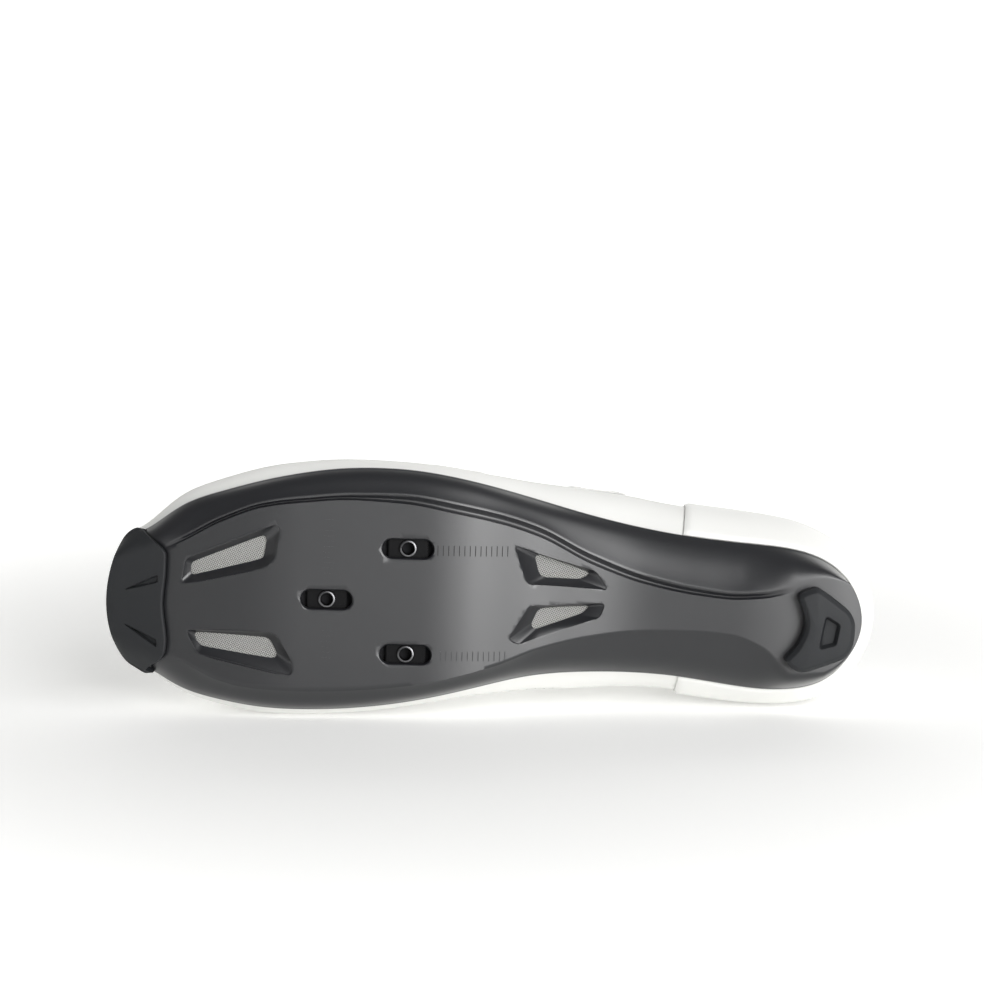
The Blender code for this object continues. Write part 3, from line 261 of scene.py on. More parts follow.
def close_ended(count):
    """Places from 0 to 1 that lie closer together at both ends."""
    return 0.5 * (1.0 - np.cos(np.pi * np.linspace(0.0, 1.0, count)))


def underside(x, y):
    """Height of the plate's underside at a place in the shoe's frame."""
    share = np.clip(np.asarray(x, float) / SOLE_LENGTH, 0.0, 1.0)
    side = np.where(np.asarray(y) >= 0.0, 1, -1)
    reach = np.abs(y)
    half = half_width(share, side)
    edge, groove, crest = relief_places(share, side)
    fade = ease((share - RELIEF_HEEL[0]) / RELIEF_HEEL[1])
    fade = fade * ease((RELIEF_TOE[0] - share) / RELIEF_TOE[1])
    beyond = np.clip((reach - edge) / np.maximum(groove - edge, 0.001 * MM), 0.0, 1.0)
    dip = GROOVE_DEPTH * fade * np.sin(np.pi * beyond ** GROOVE_LEAN)
    flank = np.clip((reach - crest) / np.maximum(half - crest, 0.01 * MM), 0.0, 1.0)
    scooped = FLANK_SCOOP * (1.0 - (1.0 - flank) ** 2) + (1.0 - FLANK_SCOOP) * flank ** 4
    rise = fade * scooped + (1.0 - fade) * flank ** 2.5
    return base_height(share) + dip + edge_roll(share) * rise


def footbed(x, y):
    """Height of the plate's upper face."""
    share = np.clip(np.asarray(x, float) / SOLE_LENGTH, 0.0, 1.0)
    half = np.maximum(half_width(share, np.where(np.asarray(y) >= 0.0, 1, -1)), MM)
    reach = np.minimum(np.abs(y) / half, 1.0)
    rim = edge_roll(share) + PLATE_EDGE_THICKNESS - PLATE_THICKNESS
    return base_height(share) + PLATE_THICKNESS + rim * reach ** 4


# The shoe's own frame: toe, outer side and up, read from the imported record. CLEAT_PLACE is
# where the flat cleat face lies, along from the heel and across from the axis.
CLEAT_PLACE = (176.5 * MM, 3.8 * MM)
record = frame["record"]
cleat_face = next(mount for mount in record["mounts"] if mount["name"] == "cleat_face")
toeward = Vector(record["behaviour"]["joints"][0]["axis"]).normalized()
upward = -Vector(cleat_face["axis"]).normalized()
upward = (upward - toeward * upward.dot(toeward)).normalized()
sideward = upward.cross(toeward)
heel_end = Vector(cleat_face["pos_m"]) - toeward * CLEAT_PLACE[0] - sideward * CLEAT_PLACE[1]
SHOE_PLACE = Matrix((toeward, sideward, upward)).transposed().to_4x4()
SHOE_PLACE.translation = heel_end


def grid_faces(rows, columns, start=0, closed=False):
    faces = []
    for i in range(rows - 1):
        for j in range(columns if closed else columns - 1):
            after = (j + 1) % columns
            here = start + i * columns
            faces.append((here + j, here + after, here + columns + after, here + columns + j))
    return faces


def in_scene(name, data):
    """Object that holds the data, linked to the scene."""
    thing = bpy.data.objects.new(name, data)
    bpy.context.scene.collection.objects.link(thing)
    return thing


def new_shape(name, vertices, faces, kinds=None):
    """Object from vertices and faces, its faces turned outward; kinds are material indices."""
    mesh = bpy.data.meshes.new(name)
    mesh.from_pydata(np.asarray(vertices, float).tolist(), [], faces)
    if kinds is not None:
        mesh.polygons.foreach_set("material_index", kinds)
    shape = bmesh.new()
    shape.from_mesh(mesh)
    bmesh.ops.remove_doubles(shape, verts=shape.verts, dist=0.01 * MM)
    bmesh.ops.recalc_face_normals(shape, faces=shape.faces)
    shape.to_mesh(mesh)
    shape.free()
    return in_scene(name, mesh)


def bake(thing):
    """Make what the modifiers give the object's own mesh."""
    depsgraph = bpy.context.evaluated_depsgraph_get()
    mesh = bpy.data.meshes.new_from_object(thing.evaluated_get(depsgraph))
    thing.modifiers.clear()
    thing.data = mesh


def carve(thing, cutters, operation="DIFFERENCE"):
    for cutter in cutters:
        modifier = thing.modifiers.new(cutter.name, "BOOLEAN")
        modifier.operation = operation
        modifier.solver = "EXACT"
        modifier.object = cutter
    bake(thing)
    for cutter in cutters:
        bpy.data.objects.remove(cutter)


def joined(name, things):
    """One object from several."""
    whole = bmesh.new()
    for thing in things:
        whole.from_mesh(thing.data)
        bpy.data.objects.remove(thing)
    mesh = bpy.data.meshes.new(name)
    whole.to_mesh(mesh)
    whole.free()
    return in_scene(name, mesh)


def settle(thing, materials, stands_for=(), body="shoe", angle=35.0):
    """Lay a finished piece down with the shoe, give it its finish and let it ride."""
    thing.data.transform(SHOE_PLACE)
    if not thing.data.materials:
        for material in materials:
            thing.data.materials.append(material)
    thing.data.shade_smooth()
    thing.data.set_sharp_from_angle(angle=math.radians(angle))
    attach(thing, body)
    if stands_for:
        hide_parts(*stands_for)
    return thing


def paint(code):
    """Linear colour of an sRGB hex code."""
    colour = [int(code[i:i + 2], 16) / 255.0 for i in (0, 2, 4)]
    return (*(c / 12.92 if c <= 0.04045 else ((c + 0.055) / 1.055) ** 2.4 for c in colour), 1.0)


def add_node(tree, kind, values=None, links=None, **settings):
    """New node with its settings, plain socket values and links into its sockets."""
    made = tree.nodes.new(kind)
    for key, value in settings.items():
        setattr(made, key, value)
    for key, value in (values or {}).items():
        made.inputs[key].default_value = value
    for key, source in (links or {}).items():
        tree.links.new(source, made.inputs[key])
    return made


def shader_inputs(material):
    return material.node_tree.nodes["Principled BSDF"].inputs


def new_material(name, colour, roughness, coat=0.0, sheen=0.0, metallic=0.0):
    material = bpy.data.materials.new(name)
    material.use_nodes = True
    sockets = shader_inputs(material)
    sockets["Base Color"].default_value = paint(colour)
    sockets["Roughness"].default_value = roughness
    sockets["Metallic"].default_value = metallic
    sockets["Coat Weight"].default_value = coat
    sockets["Coat Roughness"].default_value = 0.85 * roughness
    sockets["Sheen Weight"].default_value = sheen
    return material


def grain(material, size, height, drift=None):
    """Fine irregular grain of a real size, as bump. With a drift, the roughness wanders
    between its two values with the same grain."""
    tree = material.node_tree
    place = add_node(tree, "ShaderNodeTexCoord")
    noise = add_node(
        tree, "ShaderNodeTexNoise",
        values={"Scale": 1.0 / size, "Detail": 3.0},
        links={"Vector": place.outputs["Object"]},
    )
    bump = add_node(
        tree, "ShaderNodeBump",
        values={"Distance": height, "Strength": 1.0},
        links={"Height": noise.outputs["Fac"]},
    )
    tree.links.new(bump.outputs["Normal"], shader_inputs(material)["Normal"])
    if drift:
        wander = add_node(
            tree, "ShaderNodeMapRange",
            values={"To Min": drift[0], "To Max": drift[1]},
            links={"Value": noise.outputs["Fac"]},
        )
        tree.links.new(wander.outputs["Result"], shader_inputs(material)["Roughness"])


# Moulded composite: near black, satin, with a faint release-paper grain that spreads highlights
composite = new_material("moulded_composite", "141519", 0.40, coat=0.75)
grain(composite, 0.35 * MM, 0.008 * MM, drift=(0.33, 0.43))

# Rows along the plate, and points across its centre, groove, ridge and flank
PLATE_ROWS = 260
CENTRE_STEPS, GROOVE_STEPS, RIDGE_STEPS, FLANK_STEPS = 16, 10, 3, 26
FOOTBED_STEPS = 10
RIM_PARTS = (0.18, 0.5, 0.82)


def span(low, high, count):
    """Points after low up to high, evenly spaced along the first axis."""
    low = np.asarray(low)[..., None]
    high = np.asarray(high)[..., None]
    return low + (high - low) * np.arange(1, count + 1) / count


turns = np.arange(1, PLATE_ROWS) / PLATE_ROWS
shares = share_at(turns)
plate_x = SOLE_LENGTH * shares
halves = []
for side in (-1, 1):
    sides = np.full(len(shares), side)
    half = half_width(shares, sides)
    edge, groove, crest = relief_places(shares, sides)
    crest = np.minimum(crest, CREST_SHARE_LIMIT * half)
    places = [span(0.0 * edge, edge, CENTRE_STEPS)]
    if side > 0:
        groove = np.minimum(groove, 0.5 * (edge + crest))
        places += [span(edge, groove, GROOVE_STEPS), span(groove, crest, RIDGE_STEPS)]
    places.append(span(crest, half, FLANK_STEPS))
    halves.append(side * np.concatenate(places, axis=1))
across = np.concatenate([halves[0][:, ::-1], np.zeros((len(shares), 1)), halves[1]], axis=1)
along_x = np.repeat(plate_x[:, None], across.shape[1], axis=1)
low_face = np.stack([along_x, across, underside(along_x, across)], axis=-1)
top_shares = np.sin(0.5 * np.pi * np.linspace(-1.0, 1.0, 2 * FOOTBED_STEPS + 1))
inner_half = half_width(shares, np.full(len(shares), -1))[:, None]
outer_half = half_width(shares, np.full(len(shares), 1))[:, None]
top_y = np.where(top_shares > 0.0, outer_half * top_shares, inner_half * top_shares)
top_x = np.repeat(plate_x[:, None], top_y.shape[1], axis=1)
top_face = np.stack([top_x, top_y, footbed(top_x, top_y)], axis=-1)


def rim_points(low, high, bulge):
    """Rounded edge between two faces of the plate."""
    points = []
    for part in RIM_PARTS:
        out = bulge * math.sin(math.pi * part) ** 0.5
        middle = low + (high - low) * part
        points.append(middle + np.array((0.0, out, 0.0)))
    return np.stack(points, axis=1)


outer_rim = rim_points(low_face[:, -1], top_face[:, -1], PLATE_EDGE_ROUND)
inner_rim = rim_points(top_face[:, 0], low_face[:, 0], -PLATE_EDGE_ROUND)
plate_loops = np.concatenate([low_face, outer_rim, top_face[:, ::-1], inner_rim], axis=1)
loop_count = plate_loops.shape[1]
plate_faces = grid_faces(len(plate_loops), loop_count, 0, True)
plate_faces.append(tuple(range(loop_count)))
plate_faces.append(tuple((len(plate_loops) - 1) * loop_count + i for i in range(loop_count)))
sole_plate = new_shape("sole_plate_moulding", plate_loops.reshape(-1, 3), plate_faces)

# Vents and cleat slots are moulded through the plate. The vents have sloping walls and a
# soft lip; the slots have a chamfered mouth, and a pocket behind each holds its nut.
VENT_DEPTH = 2.2 * MM
VENT_LIP = 0.35 * MM
VENT_CORNER = 1.8 * MM
VENT_BEND = 0.3 * VENT_LIP
THROUGH_PLATE = 3.0 * PLATE_THICKNESS
FRONT_VENT_X = 0.8885 * SOLE_LENGTH
REAR_VENT_X = 0.3309 * SOLE_LENGTH

# Steps along from the datum and places across, in millimetres: mouth, then opening
VENTS = (
    (
        FRONT_VENT_X,
        ((3.4, 7.5), (2.2, 16.2), (-29.6, 29.8), (-31.2, 28.4), (-29.8, 18.6), (-26.6, 14.9)),
        ((0.3, 10.3), (0.3, 15.0), (-25.2, 25.8), (-26.8, 24.9), (-25.8, 18.1), (-24.5, 17.2)),
    ),
    (
        FRONT_VENT_X,
        (
            (0.7, -9.0), (1.0, -10.2), (-2.8, -17.0), (-36.6, -23.6), (-36.8, -19.2),
            (-31.2, -9.8), (-28.4, -8.5),
        ),
        (
            (-1.4, -9.7), (-2.0, -12.9), (-4.2, -14.7), (-30.0, -18.0), (-31.6, -16.6),
            (-28.8, -11.3), (-27.0, -10.4),
        ),
    ),
    (
        REAR_VENT_X,
        ((1.9, 9.0), (30.3, 10.6), (32.7, 16.8), (35.3, 24.2), (31.4, 22.9), (6.6, 15.5)),
        ((11.5, 12.4), (25.4, 12.9), (26.8, 14.9), (28.3, 20.6), (25.4, 21.2), (8.0, 14.7)),
    ),
    (
        REAR_VENT_X,
        ((2.7, 4.0), (4.6, -1.0), (33.4, -10.9), (36.8, -8.9), (29.6, 2.6), (18.7, 3.1)),
        ((8.0, 3.0), (10.6, 0.2), (27.6, -5.9), (29.0, -4.2), (26.3, 1.8), (18.7, 2.4)),
    ),
)
SLOT_LENGTH = 18.0 * MM
SLOT_WIDTH = 6.7 * MM
SLOT_CHAMFER = 0.5 * MM
SLOT_LIP = 2.4 * MM
SLOTS = {
    "nut_front": (190.6 * MM, 3.8 * MM),
    "nut_rear_outer": (162.2 * MM, 22.6 * MM),
    "nut_rear_inner": (162.2 * MM, -15.0 * MM),
}
NUT_PLATE = (14.0 * MM, 11.6 * MM, 1.6 * MM)
NUT_TRAVEL = 5.6 * MM

# Rings of a slot's mouth: how far outside the slot and how deep, as shares of the chamfer
SLOT_MOUTH = ((2.0, -1.0), (1.15, -0.15), (0.85, 0.10), (0.15, 0.85), (0.0, 1.15))


def rounded(points, radius, steps=5):
    """Outline with each corner cut back by up to the radius and rounded over."""
    points = np.asarray(points, float)
    before = np.roll(points, 1, axis=0) - points
    after = np.roll(points, -1, axis=0) - points
    start = points + before * np.minimum(radius / np.linalg.norm(before, axis=1), 0.4)[:, None]
    finish = points + after * np.minimum(radius / np.linalg.norm(after, axis=1), 0.4)[:, None]
    t = np.linspace(0.0, 1.0, steps + 1)[None, :, None]
    curve = start[:, None] * (1.0 - t) ** 2 + points[:, None] * 2.0 * t * (1.0 - t)
    return (curve + finish[:, None] * t * t).reshape(-1, 2)


def offset_outline(points, distance):
    """Outline moved outward by a distance, corner by corner."""
    before = np.roll(points, 1, axis=0)
    after = np.roll(points, -1, axis=0)
    along = after - before
    along /= np.linalg.norm(along, axis=1)[:, None]
    away = np.stack([along[:, 1], -along[:, 0]], axis=1)
    area = np.sum(points[:, 0] * after[:, 1] - after[:, 0] * points[:, 1])
    return points + away * distance * (1.0 if area > 0.0 else -1.0)


def on_underside(points, depth):
    """Outline laid at a depth inside the plate's underside."""
    return np.column_stack([points, underside(points[:, 0], points[:, 1]) + depth])


def level_ring(points, height):
    return np.column_stack([points, np.full(len(points), height)])


def stacked(name, rings):
    """Closed shape from a stack of rings of points."""
    count = len(rings[0])
    faces = grid_faces(len(rings), count, 0, True)
    vertices = np.concatenate(rings + [[rings[0].mean(axis=0)], [rings[-1].mean(axis=0)]])
    low = len(vertices) - 2
    last = (len(rings) - 1) * count
    for i in range(count):
        after = (i + 1) % count
        faces.append((low, i, after))
        faces.append((low + 1, last + i, last + after))
    return new_shape(name, vertices, faces)


def stadium(centre, length, width, sides=14):
    radius = 0.5 * width
    reach = 0.5 * length - radius
    angles = np.radians(np.linspace(-90.0, 90.0, sides + 1))
    right = np.column_stack([reach + radius * np.cos(angles), radius * np.sin(angles)])
    return np.concatenate([right, -right]) + np.array(centre)


def box_outline(centre, length, width):
    corners = np.array(((-0.5, -0.5), (0.5, -0.5), (0.5, 0.5), (-0.5, 0.5)))
    return corners * np.array((length, width)) + np.array(centre)


def vent_outline(rows, datum):
    return rounded([(datum + step * MM, across * MM) for step, across in rows], VENT_CORNER)


vent_openings = []
cutters = []
for index, (datum, mouth_rows, opening_rows) in enumerate(VENTS):
    mouth = vent_outline(mouth_rows, datum)
    opening = vent_outline(opening_rows, datum)
    vent_openings.append(opening)
    wide = offset_outline(mouth, VENT_LIP)
    outside = offset_outline(wide, VENT_LIP)
    rings = [level_ring(outside, -HEEL_LIFT)] + [on_underside(ring, depth) for ring, depth in (
        (outside, -VENT_LIP),
        (wide, 0.0),
        (offset_outline(mouth, VENT_BEND), VENT_BEND),
        (mouth, VENT_LIP),
        (offset_outline(opening, VENT_BEND), VENT_DEPTH - VENT_BEND),
        (opening, VENT_DEPTH),
        (opening, THROUGH_PLATE),
    )]
    cutters.append(stacked("vent_%d" % index, rings))

pockets = []
for name, centre in SLOTS.items():
    rings = []
    for grow, height in SLOT_MOUTH:
        wider = 2.0 * grow * SLOT_CHAMFER
        outline = stadium(centre, SLOT_LENGTH + wider, SLOT_WIDTH + wider)
        rings.append(level_ring(outline, height * SLOT_CHAMFER))
    rings.append(level_ring(stadium(centre, SLOT_LENGTH, SLOT_WIDTH), SLOT_LIP + FIT_GAP))
    cutters.append(stacked("slot_" + name, rings))
    reach = NUT_PLATE[0] + 2.0 * (NUT_TRAVEL + FIT_GAP)
    outline = box_outline(centre, reach, NUT_PLATE[1] + 2.0 * FIT_GAP)
    pocket = [level_ring(outline, SLOT_LIP), level_ring(outline, THROUGH_PLATE)]
    pockets.append(stacked("pocket_" + name, pocket))

# The toe pad's seat is let into the same moulding. Growing the patch gives the gap round it.
TOE_PAD_LENGTH = 21.5 * MM
TOE_PAD_HALF_WIDTH = 25.2 * MM
TOE_PAD_THICKNESS = 2.6 * MM
TOE_PAD_TIP = 1.6 * MM
TOE_PAD_SEAT = 0.2 * MM
TOE_PAD_GAP = 0.35 * MM
TOE_PAD_TUCK = 0.9 * MM
TOE_PAD_RIM = 0.45
TOE_PAD_WRAP = math.radians(50.0)
TOE_PAD_WRAP_REACH = 7.0 * MM
TOE_PAD_FOCUS = 37.0 * MM
TOE_PAD_FLARE = 2.4 * MM
TOE_PAD_RIM_REACH = 0.05

# Rear edge of the pad: share of its half width, and how far forward as a share of its length
TOE_PAD_REAR = (
    (-1.0, 0.40), (-0.70, 0.02), (-0.55, 0.00), (0.0, 0.07),
    (0.50, 0.03), (0.68, 0.03), (1.0, 0.44),
)
SEAT_GRID = (41, 17)
TOE_PAD_GRID = (97, 41)


def pad_points(x, y, front, distance):
    """Points outside the plate's underside at the toe. Near the front edge the direction
    leans outward, so that the pad wraps round the edge."""
    near_edge = 1.0 - np.minimum((front - x) / TOE_PAD_WRAP_REACH, 1.0)
    lean = TOE_PAD_WRAP * near_edge ** 2
    away = np.stack([x - SOLE_LENGTH + TOE_PAD_FOCUS, y], axis=-1)
    away *= (np.sin(lean) / np.linalg.norm(away, axis=-1))[..., None]
    way = np.concatenate([away, -np.cos(lean)[..., None]], axis=-1)
    return np.stack([x, y, underside(x, y)], axis=-1) + way * np.asarray(distance)[..., None]


def toe_front_x(y):
    """Place of the sole's front edge at places across it."""
    low = np.full(y.shape, 0.80)
    high = np.full(y.shape, 1.0)
    side = np.where(y >= 0.0, 1, -1)
    for _ in range(40):
        middle = 0.5 * (low + high)
        inside = half_width(middle, side) > np.abs(y)
        low = np.where(inside, middle, low)
        high = np.where(inside, high, middle)
    return SOLE_LENGTH * low


def toe_patch(near, far, across_count, along_count, grow=0.0):
    """Grids of points over the toe at two depths; the far one is rounded off at its rim."""
    parts = np.sin(0.5 * np.pi * np.linspace(-1.0, 1.0, across_count))
    steps = close_ended(along_count)
    y = parts * (TOE_PAD_HALF_WIDTH + grow)
    front = toe_front_x(y) - TOE_PAD_TUCK + TOE_PAD_FLARE * parts ** 4 + grow
    rear = SOLE_LENGTH - TOE_PAD_LENGTH * (1.0 - column(TOE_PAD_REAR, 1, parts))
    rear = np.minimum(rear, front - TOE_PAD_TIP) - grow
    x = rear[:, None] + (front - rear)[:, None] * steps
    y = np.repeat(y[:, None], along_count, axis=1)
    edge = np.minimum((1.0 - np.abs(parts))[:, None], steps[None, :]) / TOE_PAD_RIM_REACH
    thick = far * (TOE_PAD_RIM + (1.0 - TOE_PAD_RIM) * rounded_rise(edge))
    close = pad_points(x, y, front[:, None], np.full(x.shape, near))
    return close, pad_points(x, y, front[:, None], thick)


def slab(name, lower, upper):
    """Closed solid between two grids of points of the same size."""
    rows, columns = lower.shape[:2]
    shift = rows * columns
    faces = grid_faces(rows, columns) + grid_faces(rows, columns, shift)
    border = [(0, j) for j in range(columns)]
    border += [(i, columns - 1) for i in range(1, rows)]
    border += [(rows - 1, j) for j in range(columns - 2, -1, -1)]
    border += [(i, 0) for i in range(rows - 2, 0, -1)]
    for index, (i, j) in enumerate(border):
        k, m = border[(index + 1) % len(border)]
        here = i * columns + j
        there = k * columns + m
        faces.append((here, there, shift + there, shift + here))
    return new_shape(name, np.concatenate([lower.reshape(-1, 3), upper.reshape(-1, 3)]), faces)


seat_near, seat_far = toe_patch(
    -TOE_PAD_SEAT - TOE_PAD_GAP, TOE_PAD_THICKNESS + SLOT_LIP, *SEAT_GRID, TOE_PAD_GAP,
)
cutters.append(slab("toe_seat", seat_near, seat_far))
carve(sole_plate, [joined("openings", cutters), joined("pockets", pockets)])
settle(sole_plate, [composite], ["sole_plate"], angle=42.0)

# Scale marks beside the slots. They are fine raised bars in the moulding, one every 1.9 mm,
# that help to set a cleat. Each row is laid down from one bar.
TICK_WIDTH = 0.35 * MM
TICK_PITCH = 1.9 * MM
TICK_PROUD = 0.05 * MM


def open_tree(name, **inputs):
    """New geometry tree with the named inputs, and its input node."""
    group = bpy.data.node_groups.new(name, "GeometryNodeTree")
    for key, kind in {"Geometry": "Geometry", **inputs, "Material": "Material"}.items():
        group.interface.new_socket(key, in_out="INPUT", socket_type="NodeSocket" + kind)
    group.interface.new_socket("Geometry", in_out="OUTPUT", socket_type="NodeSocketGeometry")
    return group, add_node(group, "NodeGroupInput")


def close_tree(group, start, geometry):
    """Last nodes of a tree: the material and the output."""
    finish = add_node(
        group, "GeometryNodeSetMaterial",
        links={"Geometry": geometry, "Material": start.outputs["Material"]},
    )
    add_node(group, "NodeGroupOutput", links={"Geometry": finish.outputs["Geometry"]})
    return group


def repeat_nodes():
    """Geometry nodes that put one unit on every point, turned as the point says."""
    group, start = open_tree("repeat_on_points", Unit="Object")
    unit = add_node(group, "GeometryNodeObjectInfo", links={"Object": start.outputs["Unit"]})
    facing = add_node(
        group, "GeometryNodeInputNamedAttribute",
        data_type="FLOAT_VECTOR", values={"Name": "facing"},
    )
    turn = add_node(
        group, "FunctionNodeEulerToRotation", links={"Euler": facing.outputs["Attribute"]},
    )
    placed = add_node(
        group, "GeometryNodeInstanceOnPoints",
        links={
            "Points": start.outputs["Geometry"],
            "Instance": unit.outputs["Geometry"],
            "Rotation": turn.outputs["Rotation"],
        },
    )
    real = add_node(
        group, "GeometryNodeRealizeInstances", links={"Geometry": placed.outputs["Instances"]},
    )
    return close_tree(group, start, real.outputs["Geometry"])


REPEAT = repeat_nodes()


def grown(thing, tree, **inputs):
    """The object with what a geometry tree makes of it, baked in. The inputs are set by the
    identifiers of their sockets."""
    modifier = thing.modifiers.new(tree.name, "NODES")
    modifier.node_group = tree
    for item in tree.interface.items_tree:
        if item.in_out == "INPUT" and item.name in inputs:
            modifier[item.identifier] = inputs[item.name]
    bake(thing)
    return thing


def turned(along, normal):
    """Angles of a unit whose X runs along and whose Z looks along the normal."""
    along = Vector(along).normalized()
    up = Vector(normal)
    up = (up - along * up.dot(along)).normalized()
    return tuple(Matrix((along, up.cross(along), up)).transposed().to_euler())


def repeated(name, points, alongs, normals, unit, material):
    """One object made of a unit repeated on points."""
    mesh = bpy.data.meshes.new(name)
    mesh.from_pydata([tuple(point) for point in points], [], [])
    facing = mesh.attributes.new("facing", "FLOAT_VECTOR", "POINT")
    for entry, along, normal in zip(facing.data, alongs, normals):
        entry.vector = turned(along, normal)
    thing = grown(in_scene(name, mesh), REPEAT, Unit=unit, Material=material)
    bpy.data.objects.remove(unit)
    return thing


def bar(name, length, width, height, round_share=0.45):
    """Small bar along X with bevelled edges."""
    shape = bmesh.new()
    bmesh.ops.create_cube(shape, size=1.0)
    for corner in shape.verts:
        corner.co = Vector((corner.co.x * length, corner.co.y * width, corner.co.z * height))
    bmesh.ops.bevel(
        shape, geom=list(shape.edges), offset=round_share * min(width, height),
        segments=2, affect="EDGES",
    )
    mesh = bpy.data.meshes.new(name)
    shape.to_mesh(mesh)
    shape.free()
    return in_scene(name, mesh)


# Where each row starts in millimetres, its number of bars, whether it runs along the shoe,
# and the length of a bar
TICK_ROWS = (
    (127.0, 22.3, 14, True, 3.7),
    (127.0, -15.2, 13, True, 3.4),
    (190.4, 13.0, 11, False, 3.9),
    (190.4, -7.4, 6, False, 3.4),
)
# Darker material for the first row of marks, so that it reads darker than the plate round it
mark_tone = new_material("mark_moulding", "121213", 0.45)
for index, (start_x, start_y, count, lengthways, length) in enumerate(TICK_ROWS):
    tone = composite if index else mark_tone
    places = np.arange(count) * TICK_PITCH
    if lengthways:
        x = start_x * MM + places
        y = np.full(count, start_y * MM)
        along = (0.0, 1.0, 0.0)
    else:
        x = np.full(count, start_x * MM)
        y = start_y * MM + places * math.copysign(1.0, start_y)
        along = (1.0, 0.0, 0.0)
    points = np.column_stack([x, y, underside(x, y)])
    marks = repeated(
        "scale_marks_%d" % (index + 1), points, [along] * count, [(0.0, 0.0, 1.0)] * count,
        bar("mark", length * MM, TICK_WIDTH, 2.0 * TICK_PROUD), tone,
    )
    settle(marks, [tone])

# Vent mesh. Pale woven monofilament closes each vent from inside. Its strands cross over
# and under each other, and their cut ends are bonded into the wall of the opening.
WEAVE_PITCH = 0.65 * MM
STRAND_WIDTH = 0.40 * MM
STRAND_WAVE = 0.10 * MM
STRAND_SIDES = 5
MESH_DEPTH = 2.9 * MM
MESH_BOND = 0.35 * MM
WEAVE_TURN = math.radians(24.0)


def sweep_nodes():
    """Geometry nodes that make every line of edges a round strand."""
    group, start = open_tree("sweep_lines", Radius="Float", Sides="Int")
    line = add_node(group, "GeometryNodeMeshToCurve", links={"Mesh": start.outputs["Geometry"]})
    ring = add_node(
        group, "GeometryNodeCurvePrimitiveCircle",
        links={"Resolution": start.outputs["Sides"], "Radius": start.outputs["Radius"]},
    )
    strand = add_node(
        group, "GeometryNodeCurveToMesh", values={"Fill Caps": True},
        links={"Curve": line.outputs["Curve"], "Profile Curve": ring.outputs["Curve"]},
    )
    return close_tree(group, start, strand.outputs["Mesh"])


SWEEP = sweep_nodes()


def swept(name, lines, radius, sides, material):
    """Round strands along lines of points."""
    points = np.concatenate(lines)
    edges = []
    start = 0
    for line in lines:
        edges += [(start + i, start + i + 1) for i in range(len(line) - 1)]
        start += len(line)
    mesh = bpy.data.meshes.new(name)
    mesh.from_pydata(points.tolist(), edges, [])
    return grown(in_scene(name, mesh), SWEEP, Radius=radius, Sides=sides, Material=material)


def spans_inside(outline, origin, direction):
    """Stretches of a straight line that lie inside an outline, as pairs of distances."""
    start = outline - origin
    finish = np.roll(outline, -1, axis=0) - origin
    across = np.array((-direction[1], direction[0]))
    side_a = start @ across
    side_b = finish @ across
    hits = []
    for i in np.nonzero(side_a * side_b < 0.0)[0]:
        part = side_a[i] / (side_a[i] - side_b[i])
        hits.append(float((start[i] + (finish[i] - start[i]) * part) @ direction))
    hits.sort()
    return list(zip(hits[0::2], hits[1::2]))


def weave(outline):
    """Lines of a plain weave inside an outline."""
    lines = []
    middle = outline.mean(axis=0)
    radius = np.linalg.norm(outline - middle, axis=1).max()
    count = int(radius / WEAVE_PITCH) + 1
    for way, angle in enumerate((WEAVE_TURN, WEAVE_TURN + 0.5 * math.pi)):
        direction = np.array((math.cos(angle), math.sin(angle)))
        across = np.array((-direction[1], direction[0]))
        for k in range(-count, count + 1):
            origin = middle + across * k * WEAVE_PITCH
            for low, high in spans_inside(outline, origin, direction):
                first = math.ceil(low / WEAVE_PITCH * 2.0)
                steps = np.arange(first, math.floor(high / WEAVE_PITCH * 2.0) + 1)
                if len(steps) < 3:
                    continue
                x, y = origin[:, None] + direction[:, None] * steps * 0.5 * WEAVE_PITCH
                wave = np.cos(np.pi * (steps * 0.5 + k + way)) * STRAND_WAVE
                lines.append(np.column_stack([x, y, underside(x, y) + MESH_DEPTH + wave]))
    return lines


# Nylon monofilament: pale grey, a pale nylon painted darker to stand in for the shade inside the
# vents, and a little glossy, so that each crossing catches the light.
# Its weave is drawn coarser than the real one, so that it shows.
monofilament = new_material("nylon_monofilament_shaded", "a8a8a5", 0.40)
for index, opening in enumerate(vent_openings):
    lines = weave(offset_outline(opening, MESH_BOND))
    net = swept("vent_mesh_%d" % (index + 1), lines, 0.5 * STRAND_WIDTH, STRAND_SIDES, monofilament)
    settle(net, [monofilament], angle=80.0)

# Cleat nuts. Each is a blackened steel plate with a round threaded collar that stands in
# its slot. It slides with its own body.
NUT_COLLAR = 6.0 * MM
NUT_COLLAR_HEIGHT = 1.7 * MM
NUT_THREAD = 4.3 * MM
THREAD_PITCH = 0.8 * MM
THREAD_DEPTH = 0.28 * MM
NUT_SIDES = 40
THREAD_RINGS = 30
NUT_ANGLES = 2.0 * np.pi * np.arange(NUT_SIDES) / NUT_SIDES
BRIGHT_RIM_DEPTH = 0.09 * MM
BORE_SPARE = 0.5 * MM

# Rings of the collar's rounded rim: how far inside its wall, and how far under its face
COLLAR_RIM = ((0.45 * MM, 0.0), (0.12 * MM, 0.10 * MM), (0.0, 0.42 * MM))

# Rings of the bore's countersunk mouth: how far outside the bore, and how far under the face
BORE_MOUTH = ((0.45 * MM, -0.27 * MM), (-0.15 * MM, 0.33 * MM))


def turned_shape(name, profile, centre):
    """Closed round shape about Z from (radius, height) steps. A radius may change round it."""
    ring = np.column_stack([np.cos(NUT_ANGLES), np.sin(NUT_ANGLES)])
    return stacked(name, [
        level_ring(ring * np.reshape(radius, (-1, 1)) + np.array(centre), height)
        for radius, height in profile
    ])


